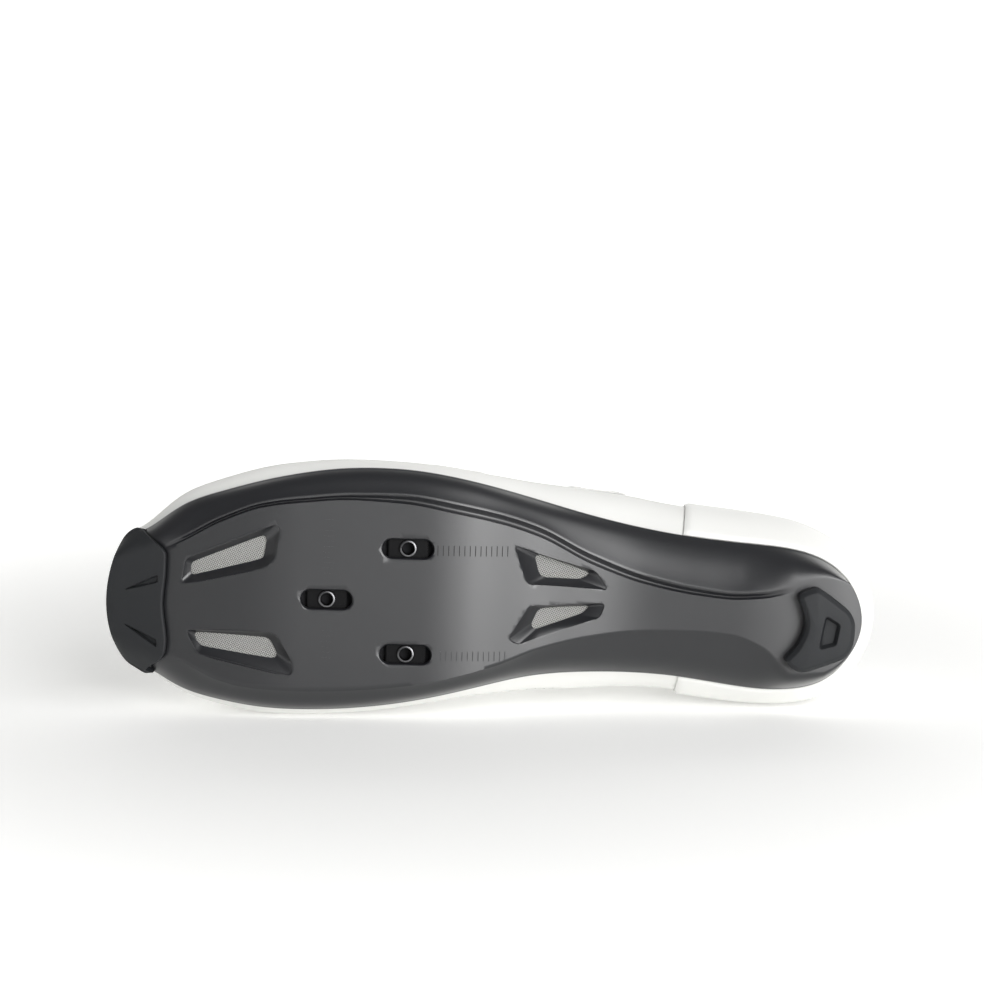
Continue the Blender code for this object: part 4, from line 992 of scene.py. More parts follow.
def threaded_bore(name, centre, low, high):
    """Cutter for a threaded hole: its wall waves in and out along a helix."""
    profile = []
    for height in np.linspace(low, high, THREAD_RINGS):
        phase = (height / THREAD_PITCH - NUT_ANGLES / (2.0 * np.pi)) % 1.0
        wave = 1.0 - 2.0 * np.abs(phase - 0.5)
        profile.append((0.5 * NUT_THREAD + THREAD_DEPTH * (wave - 0.5), height))
    return turned_shape(name, profile, centre)


# Blackened steel: dark, with a worn sheen that is uneven at the scale of a few millimetres
black_steel = new_material("blackened_steel", "161617", 0.42, metallic=0.85)
grain(black_steel, 1.5 * MM, 0.004 * MM, drift=(0.34, 0.50))

# Bright steel on the collar's rim face, lighter than the blackened steel of the rest of the nut
bright_rim_steel = new_material("bright_rim_steel", "6a6a6c", 0.30, metallic=1.0)
grain(bright_rim_steel, 0.8 * MM, 0.004 * MM, drift=(0.22, 0.38))
for body, centre in SLOTS.items():
    seat = SLOT_LIP + FIT_GAP
    low = seat - NUT_COLLAR_HEIGHT
    high = seat + NUT_PLATE[2]
    nut = bar("threaded_" + body, *NUT_PLATE, 0.2)
    nut.data.transform(Matrix.Translation((*centre, seat + 0.5 * NUT_PLATE[2])))
    wall = 0.5 * NUT_COLLAR
    rim = [(wall - inside, low + under) for inside, under in COLLAR_RIM]
    collar = turned_shape("collar", rim + [(wall, seat + 0.5 * NUT_PLATE[2])], centre)
    carve(nut, [collar], "UNION")
    carve(nut, [threaded_bore("bore", centre, low - BORE_SPARE, high + BORE_SPARE)])
    mouth = [(0.5 * NUT_THREAD + outside, low + under) for outside, under in BORE_MOUTH]
    carve(nut, [turned_shape("mouth", mouth, centre)])
    nut.data.materials.clear()
    nut.data.materials.append(black_steel)
    nut.data.materials.append(bright_rim_steel)
    # Faces within a small depth of the collar's face take the brighter steel, the rest the
    # blackened steel
    for polygon in nut.data.polygons:
        polygon.material_index = int(polygon.center.z < low + BRIGHT_RIM_DEPTH)
    settle(nut, [black_steel, bright_rim_steel], ["cleat_" + body], body=body, angle=30.0)

# Toe pad. Matt rubber, let into the toe and wrapped over its edge, with a thin lip along
# the rear and two wedge-shaped notches for grip.
TOE_NOTCH_DEPTH = 1.5 * MM
TOE_NOTCH_WIDTH = 2.6 * MM
TOE_NOTCH_LENGTH = 12.0 * MM
TOE_NOTCH_REAR = 3.6 * MM
TOE_NOTCH_CORNER = 0.6 * MM
TOE_NOTCH_MOUTH = 0.5 * MM

# Rings of a notch: how far each lies outside its outline, and how far inside the pad's face
NOTCH_RINGS = ((0.3 * MM, -0.2 * MM), (0.0, 0.25 * MM), (-0.2 * MM, TOE_NOTCH_DEPTH))

# Front and rear end of each notch, as shares of the pad's half width
TOE_NOTCHES = ((0.16, 0.35), (-0.33, -0.57))

# Moulded rubber: blue-black and matt, with a fine pitted skin
rubber = new_material("moulded_rubber", "1a1c1f", 0.66)
grain(rubber, 0.22 * MM, 0.02 * MM)

pad_near, pad_far = toe_patch(-TOE_PAD_SEAT, TOE_PAD_THICKNESS, *TOE_PAD_GRID)
toe_pad = slab("toe_bumper", pad_far, pad_near)
notches = []
rear_x = SOLE_LENGTH - TOE_PAD_LENGTH + TOE_NOTCH_REAR
front_x = rear_x + TOE_NOTCH_LENGTH
half = 0.5 * TOE_NOTCH_WIDTH
for front_share, rear_share in TOE_NOTCHES:
    rear_y = rear_share * TOE_PAD_HALF_WIDTH
    front_y = front_share * TOE_PAD_HALF_WIDTH
    corners = ((rear_x, rear_y - half), (front_x, front_y), (rear_x, rear_y + half))
    wedge = rounded(corners, TOE_NOTCH_CORNER)
    face = underside(wedge[:, 0], wedge[:, 1]) - TOE_PAD_THICKNESS
    notches.append(stacked("notch", [
        level_ring(offset_outline(wedge, TOE_NOTCH_MOUTH), -HEEL_LIFT),
    ] + [
        np.column_stack([offset_outline(wedge, wider), face + deep]) for wider, deep in NOTCH_RINGS
    ]))
carve(toe_pad, [joined("notches", notches)])
settle(toe_pad, [rubber], ["toe_pad"], angle=40.0)

# Heel pad. A block of the same rubber under the heel. It has a tall front wall with a
# wavy edge, a chamfer round its flat wear face, and one recess.
HEEL_PAD_X = 3.2 * MM
HEEL_PAD_LENGTH = 24.6 * MM
HEEL_PAD_WIDTH = 30.6 * MM
HEEL_PAD_SHIFT = -2.6 * MM
HEEL_PAD_RECESS = 3.0 * MM
PAD_CHAMFER = 1.5 * MM
PAD_CORNER = 2.0 * MM
PAD_CORE_RINGS = (0.06, 0.3, 0.55, 0.8, 0.95)

# Rings of the pad's edge: how far inside the outline, and how high, as shares of the chamfer
PAD_CHAMFER_RINGS = (
    (0.0, 1.20), (0.06, 1.05), (0.18, 0.90), (0.80, 0.20), (0.95, 0.06), (1.10, 0.0),
)

# Rings of the recess: how far each lies outside its outline, and how deep
RECESS_RINGS = (
    (1.0 * MM, -PAD_CHAMFER), (0.55 * MM, -0.05 * MM), (0.25 * MM, 0.25 * MM),
    (-0.3 * MM, HEEL_PAD_RECESS - 0.3 * MM), (-0.6 * MM, HEEL_PAD_RECESS),
)

# Corners of the pad and of its recess, as shares of the pad's length and width
HEEL_PAD_OUTLINE = (
    (0.84, 0.40), (0.72, 0.46), (0.55, 0.505), (0.30, 0.37), (0.07, 0.23), (0.00, 0.11),
    (0.00, -0.06), (0.03, -0.20), (0.14, -0.32), (0.42, -0.41), (0.71, -0.495), (0.84, -0.48),
    (0.98, -0.39), (0.99, -0.33), (0.83, -0.20), (0.73, -0.03), (0.71, 0.10), (0.76, 0.25),
)
HEEL_RECESS_OUTLINE = ((0.42, 0.17), (0.23, 0.08), (0.28, -0.15), (0.50, -0.20), (0.46, 0.01))


def heel_outline(rows, radius):
    return rounded([
        (HEEL_PAD_X + along * HEEL_PAD_LENGTH, HEEL_PAD_SHIFT + over * HEEL_PAD_WIDTH)
        for along, over in rows
    ], radius)


outline = heel_outline(HEEL_PAD_OUTLINE, PAD_CORNER)
middle = outline.mean(axis=0)
rings = [on_underside(middle + (outline - middle) * part, -FIT_GAP) for part in PAD_CORE_RINGS]
rings.append(on_underside(outline, -FIT_GAP))
for inset, height in PAD_CHAMFER_RINGS:
    rings.append(level_ring(offset_outline(outline, -inset * PAD_CHAMFER), height * PAD_CHAMFER))
heel_pad = stacked("heel_pad_moulding", rings)
recess = heel_outline(HEEL_RECESS_OUTLINE, 0.5 * PAD_CORNER)
carve(heel_pad, [stacked("recess", [
    level_ring(offset_outline(recess, wider), deep) for wider, deep in RECESS_RINGS
])])
settle(heel_pad, [rubber], ["heel_pad"], angle=40.0)

# Insole. A thin foam sheet with a knitted face lies on the footbed, inside the upper.
UPPER_WALL = 1.8 * MM
INSOLE_THICKNESS = 3.0 * MM
INSOLE_ENDS = (0.05, 0.95)
INSOLE_RIM = 0.55
INSOLE_RIM_REACH = 1.2 * MM


def edge_point(turn):
    return np.stack([SOLE_LENGTH * share_at(np.asarray(turn) % 2.0), edge_y(turn)], axis=-1)


def outward(turn):
    """Direction in which the sole's edge faces, as seen from above."""
    step = 0.002
    along = edge_point(turn + step) - edge_point(turn - step)
    along /= np.linalg.norm(along, axis=-1)[..., None]
    return np.stack([-along[..., 1], along[..., 0]], axis=-1)


# Knit over foam: matt grey, with a soft loop texture and a little fuzz
knit = new_material("knit_faced_foam", "6f7073", 0.92, sheen=0.3)
grain(knit, 0.9 * MM, 0.12 * MM)

# Bare foam on the underside: near black, closed and finely pitted
bare_foam = new_material("closed_cell_foam", "17171a", 0.88)
grain(bare_foam, 0.5 * MM, 0.05 * MM)
inset = UPPER_WALL + 3.0 * FIT_GAP
turns = np.linspace(*INSOLE_ENDS, 150)
outer = edge_point(turns) - outward(turns) * inset
inner = edge_point(2.0 - turns) - outward(2.0 - turns) * inset
parts = close_ended(27)
places = inner[:, None] + (outer - inner)[:, None] * parts[None, :, None]
low_z = footbed(places[..., 0], places[..., 1]) + FIT_GAP
widths = np.linalg.norm(outer - inner, axis=1)[:, None]
rim = rounded_rise(np.minimum(parts, 1.0 - parts)[None, :] * widths / INSOLE_RIM_REACH)
thick = INSOLE_THICKNESS * (INSOLE_RIM + (1.0 - INSOLE_RIM) * rim)
insole = slab(
    "sock_liner",
    np.concatenate([places, low_z[..., None]], axis=-1),
    np.concatenate([places, (low_z + thick)[..., None]], axis=-1),
)
insole.data.materials.append(knit)
insole.data.materials.append(bare_foam)
for polygon in insole.data.polygons:
    polygon.material_index = int(polygon.normal.z < -0.3)
settle(insole, [knit, bare_foam], ["insole"], angle=60.0)

# Upper. One hollow wall of white coated microfibre, drawn over the last: ribs run from the
# sole's edge out to the swell and on to the collar, throat or ridge. The collar is padded.
INSTEP_HEIGHT = 86.0 * MM
OVERHANG = 9.0 * MM
SIDE_SWELL = 14.0 * MM
COLLAR_WALL = 4.2 * MM
THROAT_END_GAP = 0.5 * MM
UPPER_STATIONS = 170
UPPER_LOW = 12
UPPER_HIGH = 44

# Share of the length, overhang of the outer and inner side, height of the swell's crest
SWELL = (
    (0.00, 0.60, 0.60, 1.10),
    (0.05, 0.72, 0.66, 1.10),
    (0.10, 0.88, 0.68, 1.10),
    (0.20, 1.02, 0.78, 1.10),
    (0.30, 1.02, 0.82, 1.05),
    (0.38, 0.80, 0.90, 1.00),
    (0.46, 0.46, 0.72, 0.90),
    (0.54, 0.28, 0.42, 0.75),
    (0.62, 0.25, 0.33, 0.60),
    (0.72, 0.37, 0.35, 0.55),
    (0.80, 0.48, 0.38, 0.55),
    (0.88, 0.42, 0.32, 0.52),
    (0.95, 0.20, 0.16, 0.45),
    (1.00, 0.04, 0.04, 0.40),
)

# Share of the length at a rib's foot and top, outer and inner offset of the top as shares
# of the outer ball, its height as a share of the instep's, and the turn of the arc in degrees
RIB_TOPS = (
    (0.000, -0.004, 0.000, 0.000, 0.895, 28.0),
    (0.040, 0.022, 0.290, 0.290, 0.870, 28.0),
    (0.100, 0.080, 0.500, 0.490, 0.790, 30.0),
    (0.180, 0.170, 0.560, 0.540, 0.735, 34.0),
    (0.260, 0.250, 0.540, 0.520, 0.800, 42.0),
    (0.320, 0.305, 0.430, 0.410, 0.925, 56.0),
    (0.365, 0.350, 0.320, 0.300, 0.970, 66.0),
    (0.440, 0.425, 0.250, 0.235, 0.905, 72.0),
    (0.540, 0.522, 0.205, 0.185, 0.810, 76.0),
    (0.640, 0.615, 0.160, 0.140, 0.715, 80.0),
    (0.700, 0.668, 0.100, 0.090, 0.665, 84.0),
    (0.740, 0.700, 0.000, 0.000, 0.636, 90.0),
    (0.800, 0.740, 0.000, 0.000, 0.602, 90.0),
    (0.880, 0.795, 0.000, 0.000, 0.552, 90.0),
    (0.960, 0.842, 0.000, 0.000, 0.508, 90.0),
    (1.000, 0.862, 0.000, 0.000, 0.488, 90.0),
)
RIDGE_LINE = ((0.00, 0.00), (0.25, 0.05), (0.45, 0.09), (0.65, 0.09), (0.80, 0.05), (1.00, 0.00))

# Place of each crease as a share of the length, its width as a share and its depth
CREASES = ((0.655, 0.010, 0.35 * MM), (0.690, 0.012, 0.45 * MM), (0.728, 0.011, 0.30 * MM))
CREASE_LEVEL = (1.25, 0.35)
CREASE_SHARE = (0.60, 0.05)

# Where the collar's padding fades in, along the shoe and up the rib, and its roll at the rim
PADDING_SHARE = (0.34, 0.08)
PADDING_LEVEL = (1.2, 0.5)
ROLL_LEVEL = (1.90, 0.10)
ROLL_THINNING = 0.45
ROLL_ANGLES = (36.0, 72.0, 108.0, 144.0)
TOP_LEVEL = 2.0
NEAR_TOP = 1.97


def rib(turn, along):
    """Points on the upper's outer face; along runs 0 to 1 from the sole to the swell's crest,
    then 1 to 2 from there to the collar, throat or ridge."""
    turn, along = np.broadcast_arrays(np.asarray(turn, float) % 2.0, np.asarray(along, float))
    share = share_at(turn)
    outer_side = turn <= 1.0
    face = outward(turn)
    foot = edge_point(turn)
    foot_z = base_height(share) + edge_roll(share) + PLATE_EDGE_THICKNESS + FIT_GAP
    swell = np.where(outer_side, column(SWELL, 1, share), column(SWELL, 2, share)) * OVERHANG
    crest = foot + face * swell[..., None]
    crest_z = foot_z + column(SWELL, 3, share) * SIDE_SWELL
    rise = np.minimum(along, 1.0)
    low = foot + face * (swell * np.sin(0.5 * np.pi * rise))[..., None]
    low_z = foot_z + (crest_z - foot_z) * rise
    step = np.maximum(along - 1.0, 0.0)
    arc = np.radians(column(RIB_TOPS, 5, share))
    lean = ((1.0 - np.cos(arc * step)) / (1.0 - np.cos(arc)))[..., None]
    climb = np.sin(arc * step) / np.sin(arc)
    top_share = column(RIB_TOPS, 1, share)
    offset = np.where(outer_side, column(RIB_TOPS, 2, share), -column(RIB_TOPS, 3, share))
    top_y = (column(RIDGE_LINE, 1, np.maximum(top_share, 0.0)) + offset) * BALL_OUTER
    top = np.stack([top_share * SOLE_LENGTH, top_y], axis=-1)
    high = crest + (top - crest) * lean
    high_z = crest_z + (column(RIB_TOPS, 4, share) * INSTEP_HEIGHT - crest_z) * climb
    flat = np.where((along <= 1.0)[..., None], low, high)
    return np.concatenate([flat, np.where(along <= 1.0, low_z, high_z)[..., None]], axis=-1)


def rib_normal(turn, along):
    """Direction in which the upper's outer face looks at a place on a rib."""
    step = 0.004
    turn, along = np.broadcast_arrays(np.asarray(turn, float), np.asarray(along, float))
    level = np.minimum(along, NEAR_TOP)
    across_rib = rib(turn + step, level) - rib(turn - step, level)
    above = rib(turn, np.minimum(along + step, TOP_LEVEL))
    normal = np.cross(above - rib(turn, np.maximum(along - step, 0.0)), across_rib)
    return normal / np.linalg.norm(normal, axis=-1)[..., None]


def rib_offset(turn, along, distance):
    """Points at a distance outside the upper's outer face."""
    return rib(turn, along) + rib_normal(turn, along) * np.asarray(distance)[..., None]


def creases(turn, along):
    """Soft troughs that a worn vamp shows where the toes bend, as depths."""
    share = share_at(np.asarray(turn) % 2.0)
    place = rib(turn, along)[..., 0] / SOLE_LENGTH
    depth = np.zeros(place.shape)
    for middle, width, deepest in CREASES:
        depth += deepest * np.exp(-(((place - middle) / width) ** 2))
    climb = ease((along - CREASE_LEVEL[0]) / CREASE_LEVEL[1])
    return depth * climb * ease((share - CREASE_SHARE[0]) / CREASE_SHARE[1])


# Coated microfibre: white, satin, with a fine leather-like grain
microfibre = new_material("coated_microfibre", "ebebe8", 0.46)
grain(microfibre, 0.5 * MM, 0.02 * MM)
# Lining: pale knitted mesh over foam, matt
lining = new_material("lining_mesh", "c9c9c7", 0.93, sheen=0.25)
grain(lining, 0.7 * MM, 0.10 * MM)

rib_count = 2 * UPPER_STATIONS
turns = (np.arange(rib_count) / UPPER_STATIONS)[:, None]
levels = np.concatenate([
    np.arange(UPPER_LOW) / UPPER_LOW,
    1.0 + np.sin(0.5 * np.pi * np.arange(UPPER_HIGH + 1) / UPPER_HIGH),
])[None, :]
shares = share_at(turns)
padding = np.clip((PADDING_SHARE[0] - shares) / PADDING_SHARE[1], 0.0, 1.0)
padding = padding * np.clip((levels - PADDING_LEVEL[0]) / PADDING_LEVEL[1], 0.0, 1.0)
roll_in = 1.0 - ROLL_THINNING * ease((levels - ROLL_LEVEL[0]) / ROLL_LEVEL[1])
wall = UPPER_WALL + (COLLAR_WALL - UPPER_WALL) * padding * roll_in
folds = creases(turns, levels)
outer = rib_offset(turns, levels, -folds)
inner = rib_offset(turns, levels, -wall - folds)
top_gap = column(RIB_TOPS, 2, shares[:UPPER_STATIONS + 1, 0]) * BALL_OUTER
closed_from = int(np.nonzero(top_gap > THROAT_END_GAP)[0].max()) + 1
for i in range(closed_from, UPPER_STATIONS):
    for layer in (outer, inner):
        middle = 0.5 * (layer[i, -1] + layer[rib_count - i, -1])
        layer[i, -1] = middle
        layer[rib_count - i, -1] = middle
upward_step = rib(turns[:, 0], TOP_LEVEL) - rib(turns[:, 0], NEAR_TOP)
upward_step /= np.linalg.norm(upward_step, axis=1)[:, None]
centre_line = 0.5 * (outer[:, -1] + inner[:, -1])
half_wall = 0.5 * (outer[:, -1] - inner[:, -1])
is_open = np.minimum(np.arange(rib_count), rib_count - np.arange(rib_count)) < closed_from
half_size = np.linalg.norm(half_wall, axis=1)[:, None]
rolled = []
for angle in np.radians(ROLL_ANGLES):
    bulge = np.where(is_open[:, None], upward_step * half_size * math.sin(angle), 0.0)
    rolled.append(centre_line + half_wall * math.cos(angle) + bulge)
loops = np.concatenate([outer, np.stack(rolled, axis=1), inner[:, ::-1]], axis=1)
count = loops.shape[1]
outer_count = outer.shape[1]
lined_from = outer_count + 2
faces = []
kinds = []
for i in range(rib_count):
    after = (i + 1) % rib_count
    any_open = is_open[i] or is_open[after]
    for j in range(count):
        if outer_count - 1 <= j < outer_count + len(rolled) and not any_open:
            continue
        next_j = (j + 1) % count
        faces.append((i * count + j, after * count + j, after * count + next_j, i * count + next_j))
        kinds.append(int(lined_from <= j < count - 1))
upper = new_shape("upper_wall", loops.reshape(-1, 3), faces, kinds)
settle(upper, [microfibre, lining], ["upper"], angle=50.0)

# Seams of the upper. A twin row of stitches runs below the collar and throat, and a row of pinholes
# along the inner side, which on the real shoe lets the waist bend and breathe, is drawn as dark
# discs of painted shade.
STITCH_LENGTH = 2.0 * MM
STITCH_PITCH = 2.7 * MM
STITCH_WIDTH = 0.42 * MM
STITCH_LIFT = 0.03 * MM
SEAM_DROPS = (0.050, 0.085)
SEAM_REACH = 0.985
PINHOLE_SHARES = (0.395, 0.535)
PINHOLE_LEVEL = 0.80
PINHOLE_PITCH = 3.3 * MM
PINHOLE_RADIUS = 0.32 * MM
PINHOLE_LIFT = 0.04 * MM

# Polyester thread: white, slightly glossy
thread = new_material("polyester_thread", "e6e6e4", 0.40)

# Pinhole: painted shade, a dark dull disc standing in for the shaded inside of the hole
pinhole_shade = new_material("pinhole_painted_shade", "3a3a3a", 0.90)


def read_along(wanted, run, rows):
    """Rows of values that belong to places on a run, read at the wanted places."""
    return np.column_stack([np.interp(wanted, run, rows[:, k]) for k in range(rows.shape[1])])


def even_places(points, pitch):
    """Places at an even pitch along a line of points, with the line's direction there."""
    steps = np.linalg.norm(np.diff(points, axis=0), axis=1)
    run = np.concatenate([[0.0], np.cumsum(steps)])
    count = int(run[-1] / pitch)
    wanted = (run[-1] - (count - 1) * pitch) * 0.5 + np.arange(count) * pitch
    reach = 0.3 * pitch
    ahead = read_along(wanted + reach, run, points) - read_along(wanted - reach, run, points)
    return read_along(wanted, run, points), ahead, wanted / run[-1]


def stitched(name, lines):
    """Stitches along lines; each line is (points, normals)."""
    spots, alongs, normals = [], [], []
    for points, facing in lines:
        places, along, parts = even_places(points, STITCH_PITCH)
        spots += list(places)
        alongs += list(along)
        normals += list(read_along(parts, np.linspace(0.0, 1.0, len(facing)), facing))
    unit = bar("stitch", STITCH_LENGTH, STITCH_WIDTH, 0.5 * STITCH_WIDTH, 0.48)
    return settle(repeated(name, spots, alongs, normals, unit, thread), [thread], angle=60.0)


last_turn = (closed_from - 1) / UPPER_STATIONS * SEAM_REACH
seam_run = np.concatenate([
    np.linspace(2.0 - last_turn, 2.0, 260), np.linspace(0.0, last_turn, 260)[1:],
])
stitched("collar_stitching", [
    (rib_offset(seam_run, TOP_LEVEL - drop, STITCH_LIFT), rib_normal(seam_run, TOP_LEVEL - drop))
    for drop in SEAM_DROPS
])

first_hole, last_hole = (2.0 - turn_at(share) for share in PINHOLE_SHARES)
hole_line = rib(np.linspace(first_hole, last_hole, 60), PINHOLE_LEVEL)
spots, alongs, parts = even_places(hole_line, PINHOLE_PITCH)
normals = rib_normal(first_hole + (last_hole - first_hole) * parts, PINHOLE_LEVEL)
# Each pinhole is a flat dark disc of painted shade, laid just off the wall, not a cut hole
pin = bpy.data.meshes.new("pin")
disc = bmesh.new()
bmesh.ops.create_circle(disc, cap_ends=True, segments=12, radius=PINHOLE_RADIUS)
disc.to_mesh(pin)
disc.free()
spots = spots + normals * PINHOLE_LIFT
holes = repeated("waist_pinholes", spots, alongs, normals, in_scene("pin", pin), pinhole_shade)
settle(holes, [pinhole_shade])

# Heel cup. A thin stiff shell of white film is bonded round the heel. It is thickest in
# the middle and its edge is skived down to the upper.
CUP_LENGTH = 64.0 * MM
CUP_HEIGHT_SHARE = 0.80
CUP_WALL = 1.2 * MM
CUP_SKIVE = 1.4 * MM
CUP_EDGE = 0.35
CUP_FRONT_DROP = 0.55
CUP_LOW_PART = 0.3


def run_along(rows):
    """Distance along each row of points from its first point."""
    steps = np.linalg.norm(np.diff(rows, axis=1), axis=2)
    return np.concatenate([np.zeros((len(rows), 1)), np.cumsum(steps, axis=1)], axis=1)


# Thermoplastic film: white and a little glossier than the microfibre
cup_film = new_material("thermoplastic_film", "eeeeeb", 0.38)
grain(cup_film, 1.2 * MM, 0.01 * MM)
cup_reach = turn_at(CUP_LENGTH / SOLE_LENGTH)
cup_turns = np.linspace(-cup_reach, cup_reach, 161)[:, None]
cup_top = 1.0 + CUP_HEIGHT_SHARE * (1.0 - CUP_FRONT_DROP * np.abs(cup_turns / cup_reach) ** 3)
cup_parts = np.linspace(0.0, 1.0, 61)[None, :]
cup_high = 1.0 + (cup_top - 1.0) * (cup_parts - CUP_LOW_PART) / (1.0 - CUP_LOW_PART)
cup_levels = np.where(cup_parts < CUP_LOW_PART, cup_parts / CUP_LOW_PART, cup_high)
cup_inner = rib_offset(cup_turns, cup_levels, FIT_GAP)
from_foot = run_along(cup_inner)
from_end = run_along(cup_inner.swapaxes(0, 1)).T
to_rim = np.minimum(from_foot[:, -1:] - from_foot, from_foot * 2.0)
to_rim = np.minimum(to_rim, np.minimum(from_end, from_end[-1:] - from_end))
thick = CUP_WALL * (CUP_EDGE + (1.0 - CUP_EDGE) * rounded_rise(to_rim / CUP_SKIVE))
cup_outer = rib_offset(cup_turns, cup_levels, FIT_GAP + thick)
heel_cup = slab("heel_cup_shell", cup_inner, cup_outer)
settle(heel_cup, [cup_film], ["heel_cup"], angle=50.0)

# Tongue. A padded sheet of lining mesh under the throat, quilted by soft channels. Its top
# stands above the collar.
TONGUE_THICKNESS = 3.2 * MM
TONGUE_ARCH = 0.6 * MM
TONGUE_GAP = 0.6 * MM
TONGUE_RISE = 20.0 * MM
TONGUE_SHARE = 0.385
TONGUE_REACH = 1.80
TONGUE_RIM = 0.50
TONGUE_END_ROUND = 16.0
TONGUE_SIDE_ROUND = 12.0
TONGUE_CHANNELS = 9.0
CHANNEL_DEPTH = 0.16
CHANNEL_WIDTH = 0.22
THROAT_STATION = 0.70

# Steps up the free top: its width as a share, then how far back and up as shares of the rise
TONGUE_TOP = ((0.60, 0.30, 0.08), (0.72, 0.64, 0.50), (0.80, 0.92, 1.00))


def across_throat(turn, lows, distance, arch, slant=0.0, side_steps=14, top_steps=10):
    """Rows of points over or under the throat, from the outer flank to the inner flank. The
    outer side may slant back."""
    turn = turn[:, None]
    outer_levels = np.linspace(lows[0], TOP_LEVEL, side_steps)[None, :]
    back = slant * (TOP_LEVEL - outer_levels) / (TOP_LEVEL - lows[0]) / SOLE_LENGTH
    outer_row = rib_offset(turn_at(share_at(turn) - back), outer_levels, distance)
    inner_levels = np.linspace(TOP_LEVEL, lows[1], side_steps)[None, :]
    inner_row = rib_offset(2.0 - turn, inner_levels, distance)
    part = (np.arange(1, top_steps) / top_steps)[None, :, None]
    top = outer_row[:, -1:] * (1.0 - part) + inner_row[:, :1] * part
    top[..., 2] += arch * np.sin(np.pi * part[..., 0])
    return np.concatenate([outer_row, top, inner_row], axis=1)


def with_top(rows):
    """Rows of the tongue with its free top added, narrowing as it rises."""
    first = rows[0]
    crown = first[len(first) // 2]
    middle = np.array((crown[0], 0.5 * (first[0][1] + first[-1][1]), crown[2]))
    shapes = [first]
    for shrink, back, rise in TONGUE_TOP:
        lift = np.array((-back * TONGUE_RISE, 0.0, rise * TONGUE_RISE))
        shapes.append(middle + (first - middle) * shrink + lift)
    shapes = np.stack(shapes[::-1])
    knots = np.arange(len(shapes))
    fine = np.linspace(0.0, len(shapes) - 1.0, 34)[:-1]
    top = np.stack([
        np.interp(fine, knots, shapes[:, j, k]) for j in range(shapes.shape[1]) for k in range(3)
    ], axis=1).reshape(len(fine), shapes.shape[1], 3)
    return np.concatenate([top, rows], axis=0)


tongue_turns = np.linspace(turn_at(TONGUE_SHARE), THROAT_STATION, 70)
depth = UPPER_WALL + TONGUE_GAP
tongue_high, tongue_low = (
    with_top(across_throat(tongue_turns, (TONGUE_REACH, TONGUE_REACH), -under, TONGUE_ARCH))
    for under in (depth, depth + TONGUE_THICKNESS)
)
core = 0.5 * (tongue_high + tongue_low)
half_pad = 0.5 * (tongue_high - tongue_low)
rows_part = np.linspace(0.0, 1.0, len(core))[:, None]
columns_part = np.linspace(0.0, 1.0, core.shape[1])[None, :]
to_end = np.minimum(rows_part, 1.0 - rows_part) * TONGUE_END_ROUND
to_side = np.minimum(columns_part, 1.0 - columns_part) * TONGUE_SIDE_ROUND
plump = TONGUE_RIM + (1.0 - TONGUE_RIM) * rounded_rise(np.minimum(to_end, to_side))
wave = np.sin(np.pi * rows_part * TONGUE_CHANNELS) / CHANNEL_WIDTH
pad = half_pad * (plump * (1.0 - CHANNEL_DEPTH * np.exp(-wave ** 2)))[..., None]
tongue = slab("padded_tongue", core - pad, core + pad)
settle(tongue, [lining], ["tongue"], angle=70.0)

# Closure straps. Two flat straps of the same microfibre cross the throat. Each is stitched
# along its edges and tapers in thickness at the rim.
STRAP_THICKNESS = 1.6 * MM
STRAP_GAP = 0.5 * MM
STRAP_TAPER = 16.0 * MM
STRAP_SNUG = 0.12 * MM
STRAP_ARCH = 1.6 * MM
STRAP_WIDTH = 19.0 * MM
STRAP_SLANT = 14.0 * MM
STRAP_LOWS = (1.15, 1.35)
STRAP_RIM = 0.45
STRAP_RIM_REACH = 0.8 * MM
STRAP_END = 0.35
STRAP_SEAM = 2.2 * MM

# Each strap's middle, as a share of the length
STRAPS = (("instep_strap", 0.355), ("forefoot_strap", 0.543))

# Strap microfibre: the upper's sheet, pressed a little smoother
strap_sheet = new_material("strap_microfibre", "eaeae7", 0.42)
grain(strap_sheet, 0.5 * MM, 0.02 * MM)
parts = close_ended(27)
seam_part = STRAP_SEAM / STRAP_WIDTH
seam_rows = [int(np.argmin(np.abs(parts - part))) for part in (seam_part, 1.0 - seam_part)]
for name, middle in STRAPS:
    top_x = middle * SOLE_LENGTH + STRAP_SLANT
    ends = turn_at(np.array((top_x - 0.5 * STRAP_WIDTH, top_x + 0.5 * STRAP_WIDTH)) / SOLE_LENGTH)
    strap_turns = ends[0] + (ends[1] - ends[0]) * parts
    under, over, snug = (
        across_throat(strap_turns, STRAP_LOWS, distance, STRAP_ARCH, STRAP_SLANT, 40, 22)
        for distance in (STRAP_GAP, STRAP_GAP + STRAP_THICKNESS, STRAP_SNUG)
    )
    run = run_along(under)
    to_end = np.minimum(run, run[:, -1:] - run)
    to_side = np.minimum(parts, 1.0 - parts)[:, None] * STRAP_WIDTH
    rim = rounded_rise(np.minimum(to_end, to_side) / STRAP_RIM_REACH)
    full = ease(to_end / STRAP_TAPER)
    edge = (STRAP_RIM + (1.0 - STRAP_RIM) * rim) * (STRAP_END + (1.0 - STRAP_END) * full)
    settled = (snug - under) * (1.0 - full)[..., None]
    thick = (over - under) * edge[..., None]
    under = under + settled
    over = under + thick
    strap = slab(name + "_band", under, over)
    settle(strap, [strap_sheet], [name], angle=50.0)
    lift = thick / np.linalg.norm(thick, axis=2)[..., None]
    stitched(name + "_stitching", [
        (over[row] + lift[row] * STITCH_LIFT, lift[row]) for row in seam_rows
    ])

# Setting. The shoe lies on a pale seamless floor that curves up into a backdrop. Four soft
# boxes stand in front and to the right, low and high, and a long lens looks from the front.
# Painted glow of the floor: its emission near the shoe and far away, and the distances over which
# it changes
NEAR_GLOW = 0.20
FAR_GLOW = 0.80
GLOW_FROM = 0.16
GLOW_TO = 0.55
FLOOR_REACH = 1.5
BACKDROP_RISE = 3.0
ROOM_LIGHT = 0.21
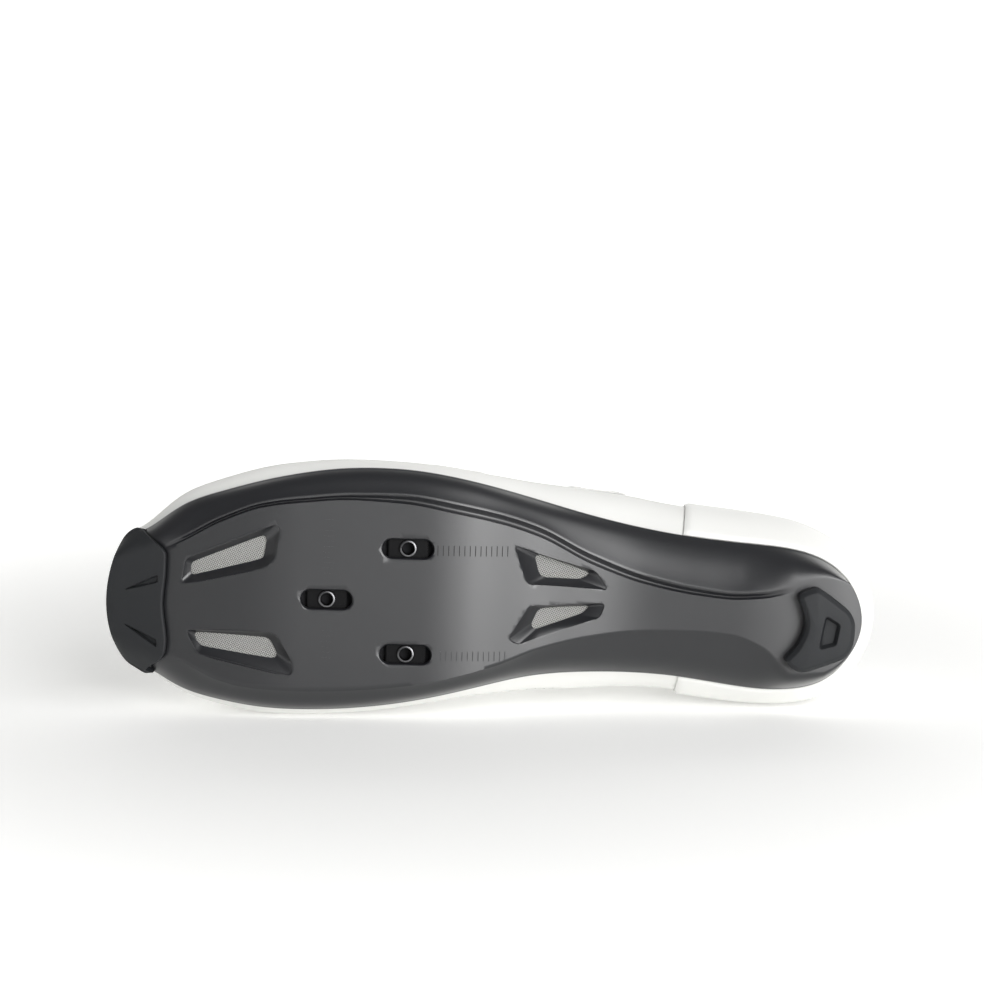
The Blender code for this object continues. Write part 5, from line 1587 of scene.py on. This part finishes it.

# Pale floor: matt, nearly white, with a painted glow of its own emission that is weaker near the
# shoe and stronger away from it
floor_paint = new_material("pale_floor", "f6f6f5", 0.80)
floor_tree = floor_paint.node_tree
shader_inputs(floor_paint)["Emission Color"].default_value = paint("fffffd")
floor_spot = add_node(floor_tree, "ShaderNodeTexCoord")
floor_reach = add_node(
    floor_tree, "ShaderNodeVectorMath", operation="LENGTH",
    links={"Vector": floor_spot.outputs["Object"]},
)
floor_glow = add_node(
    floor_tree, "ShaderNodeMapRange", interpolation_type="SMOOTHSTEP",
    values={"From Min": GLOW_FROM, "From Max": GLOW_TO, "To Min": NEAR_GLOW, "To Max": FAR_GLOW},
    links={"Value": floor_reach.outputs["Value"]},
)
floor_tree.links.new(floor_glow.outputs["Result"], shader_inputs(floor_paint)["Emission Strength"])
profile = [(-FLOOR_REACH - 1.0, 0.0), (FLOOR_REACH, 0.0)]
for angle in np.linspace(0.1, 0.5 * math.pi, 12):
    profile.append((FLOOR_REACH + math.sin(angle), 1.0 - math.cos(angle)))
profile.append((FLOOR_REACH + 1.0, BACKDROP_RISE))
corners = [(side * BACKDROP_RISE, y, z) for y, z in profile for side in (-1.0, 1.0)]
cove = bpy.data.meshes.new("floor")
cove.from_pydata(corners, [], grid_faces(len(profile), 2))
cove.materials.append(floor_paint)
cove.shade_smooth()
in_scene("floor", cove)

# An even, dim room, so that the softboxes shape the dark plate
world = bpy.data.worlds.new("studio")
bpy.context.scene.world = world
world.use_nodes = True
world_light = world.node_tree.nodes["Background"].inputs
world_light["Color"].default_value = (1.0, 1.0, 1.0, 1.0)
world_light["Strength"].default_value = ROOM_LIGHT

# Place, size and power of each softbox. All of them face the middle of the shoe.
SOFTBOXES = {
    "heel_side_light": ((1.3, -0.9, 1.5), (1.2, 1.2), 11.5),
    "low_side_light": ((0.95, -1.9, 0.35), (0.9, 0.7), 16.0),
    "front_light": ((0.65, -1.95, 0.6), (0.9, 0.8), 8.0),
    "high_front_light": ((0.9, -1.9, 1.2), (1.2, 1.0), 17.0),
}
SHOE_MIDDLE = Vector((0.0, 0.0, 0.05))
for name, (place, size, power) in SOFTBOXES.items():
    lamp = bpy.data.lights.new(name, "AREA")
    lamp.shape = "RECTANGLE"
    lamp.size, lamp.size_y = size
    lamp.energy = power
    softbox = in_scene(name, lamp)
    softbox.location = place
    softbox.rotation_euler = (SHOE_MIDDLE - Vector(place)).to_track_quat("-Z", "Y").to_euler()

VIEW_ELEVATION = math.radians(10.8)
VIEW_ROLL = math.radians(0.46)
VIEW_DISTANCE = 1.2
VIEW_WIDTH = 0.3481
VIEW_CENTRE = (133.2 * MM, 43.3 * MM, 4.0 * MM)
lens = bpy.data.cameras.new("camera")
lens.sensor_width = 36.0
lens.lens = lens.sensor_width * VIEW_DISTANCE / VIEW_WIDTH
camera = in_scene("camera", lens)
target = SHOE_PLACE @ Vector(VIEW_CENTRE)
back = Vector((0.0, -math.cos(VIEW_ELEVATION), math.sin(VIEW_ELEVATION)))
camera.location = target + back * VIEW_DISTANCE
camera.rotation_mode = "QUATERNION"
level_turn = (-back).to_track_quat("-Z", "Y")
camera.rotation_quaternion = level_turn @ Matrix.Rotation(VIEW_ROLL, 3, "Z").to_quaternion()
bpy.context.scene.camera = camera

bpy.context.scene.view_settings.view_transform = "Standard"
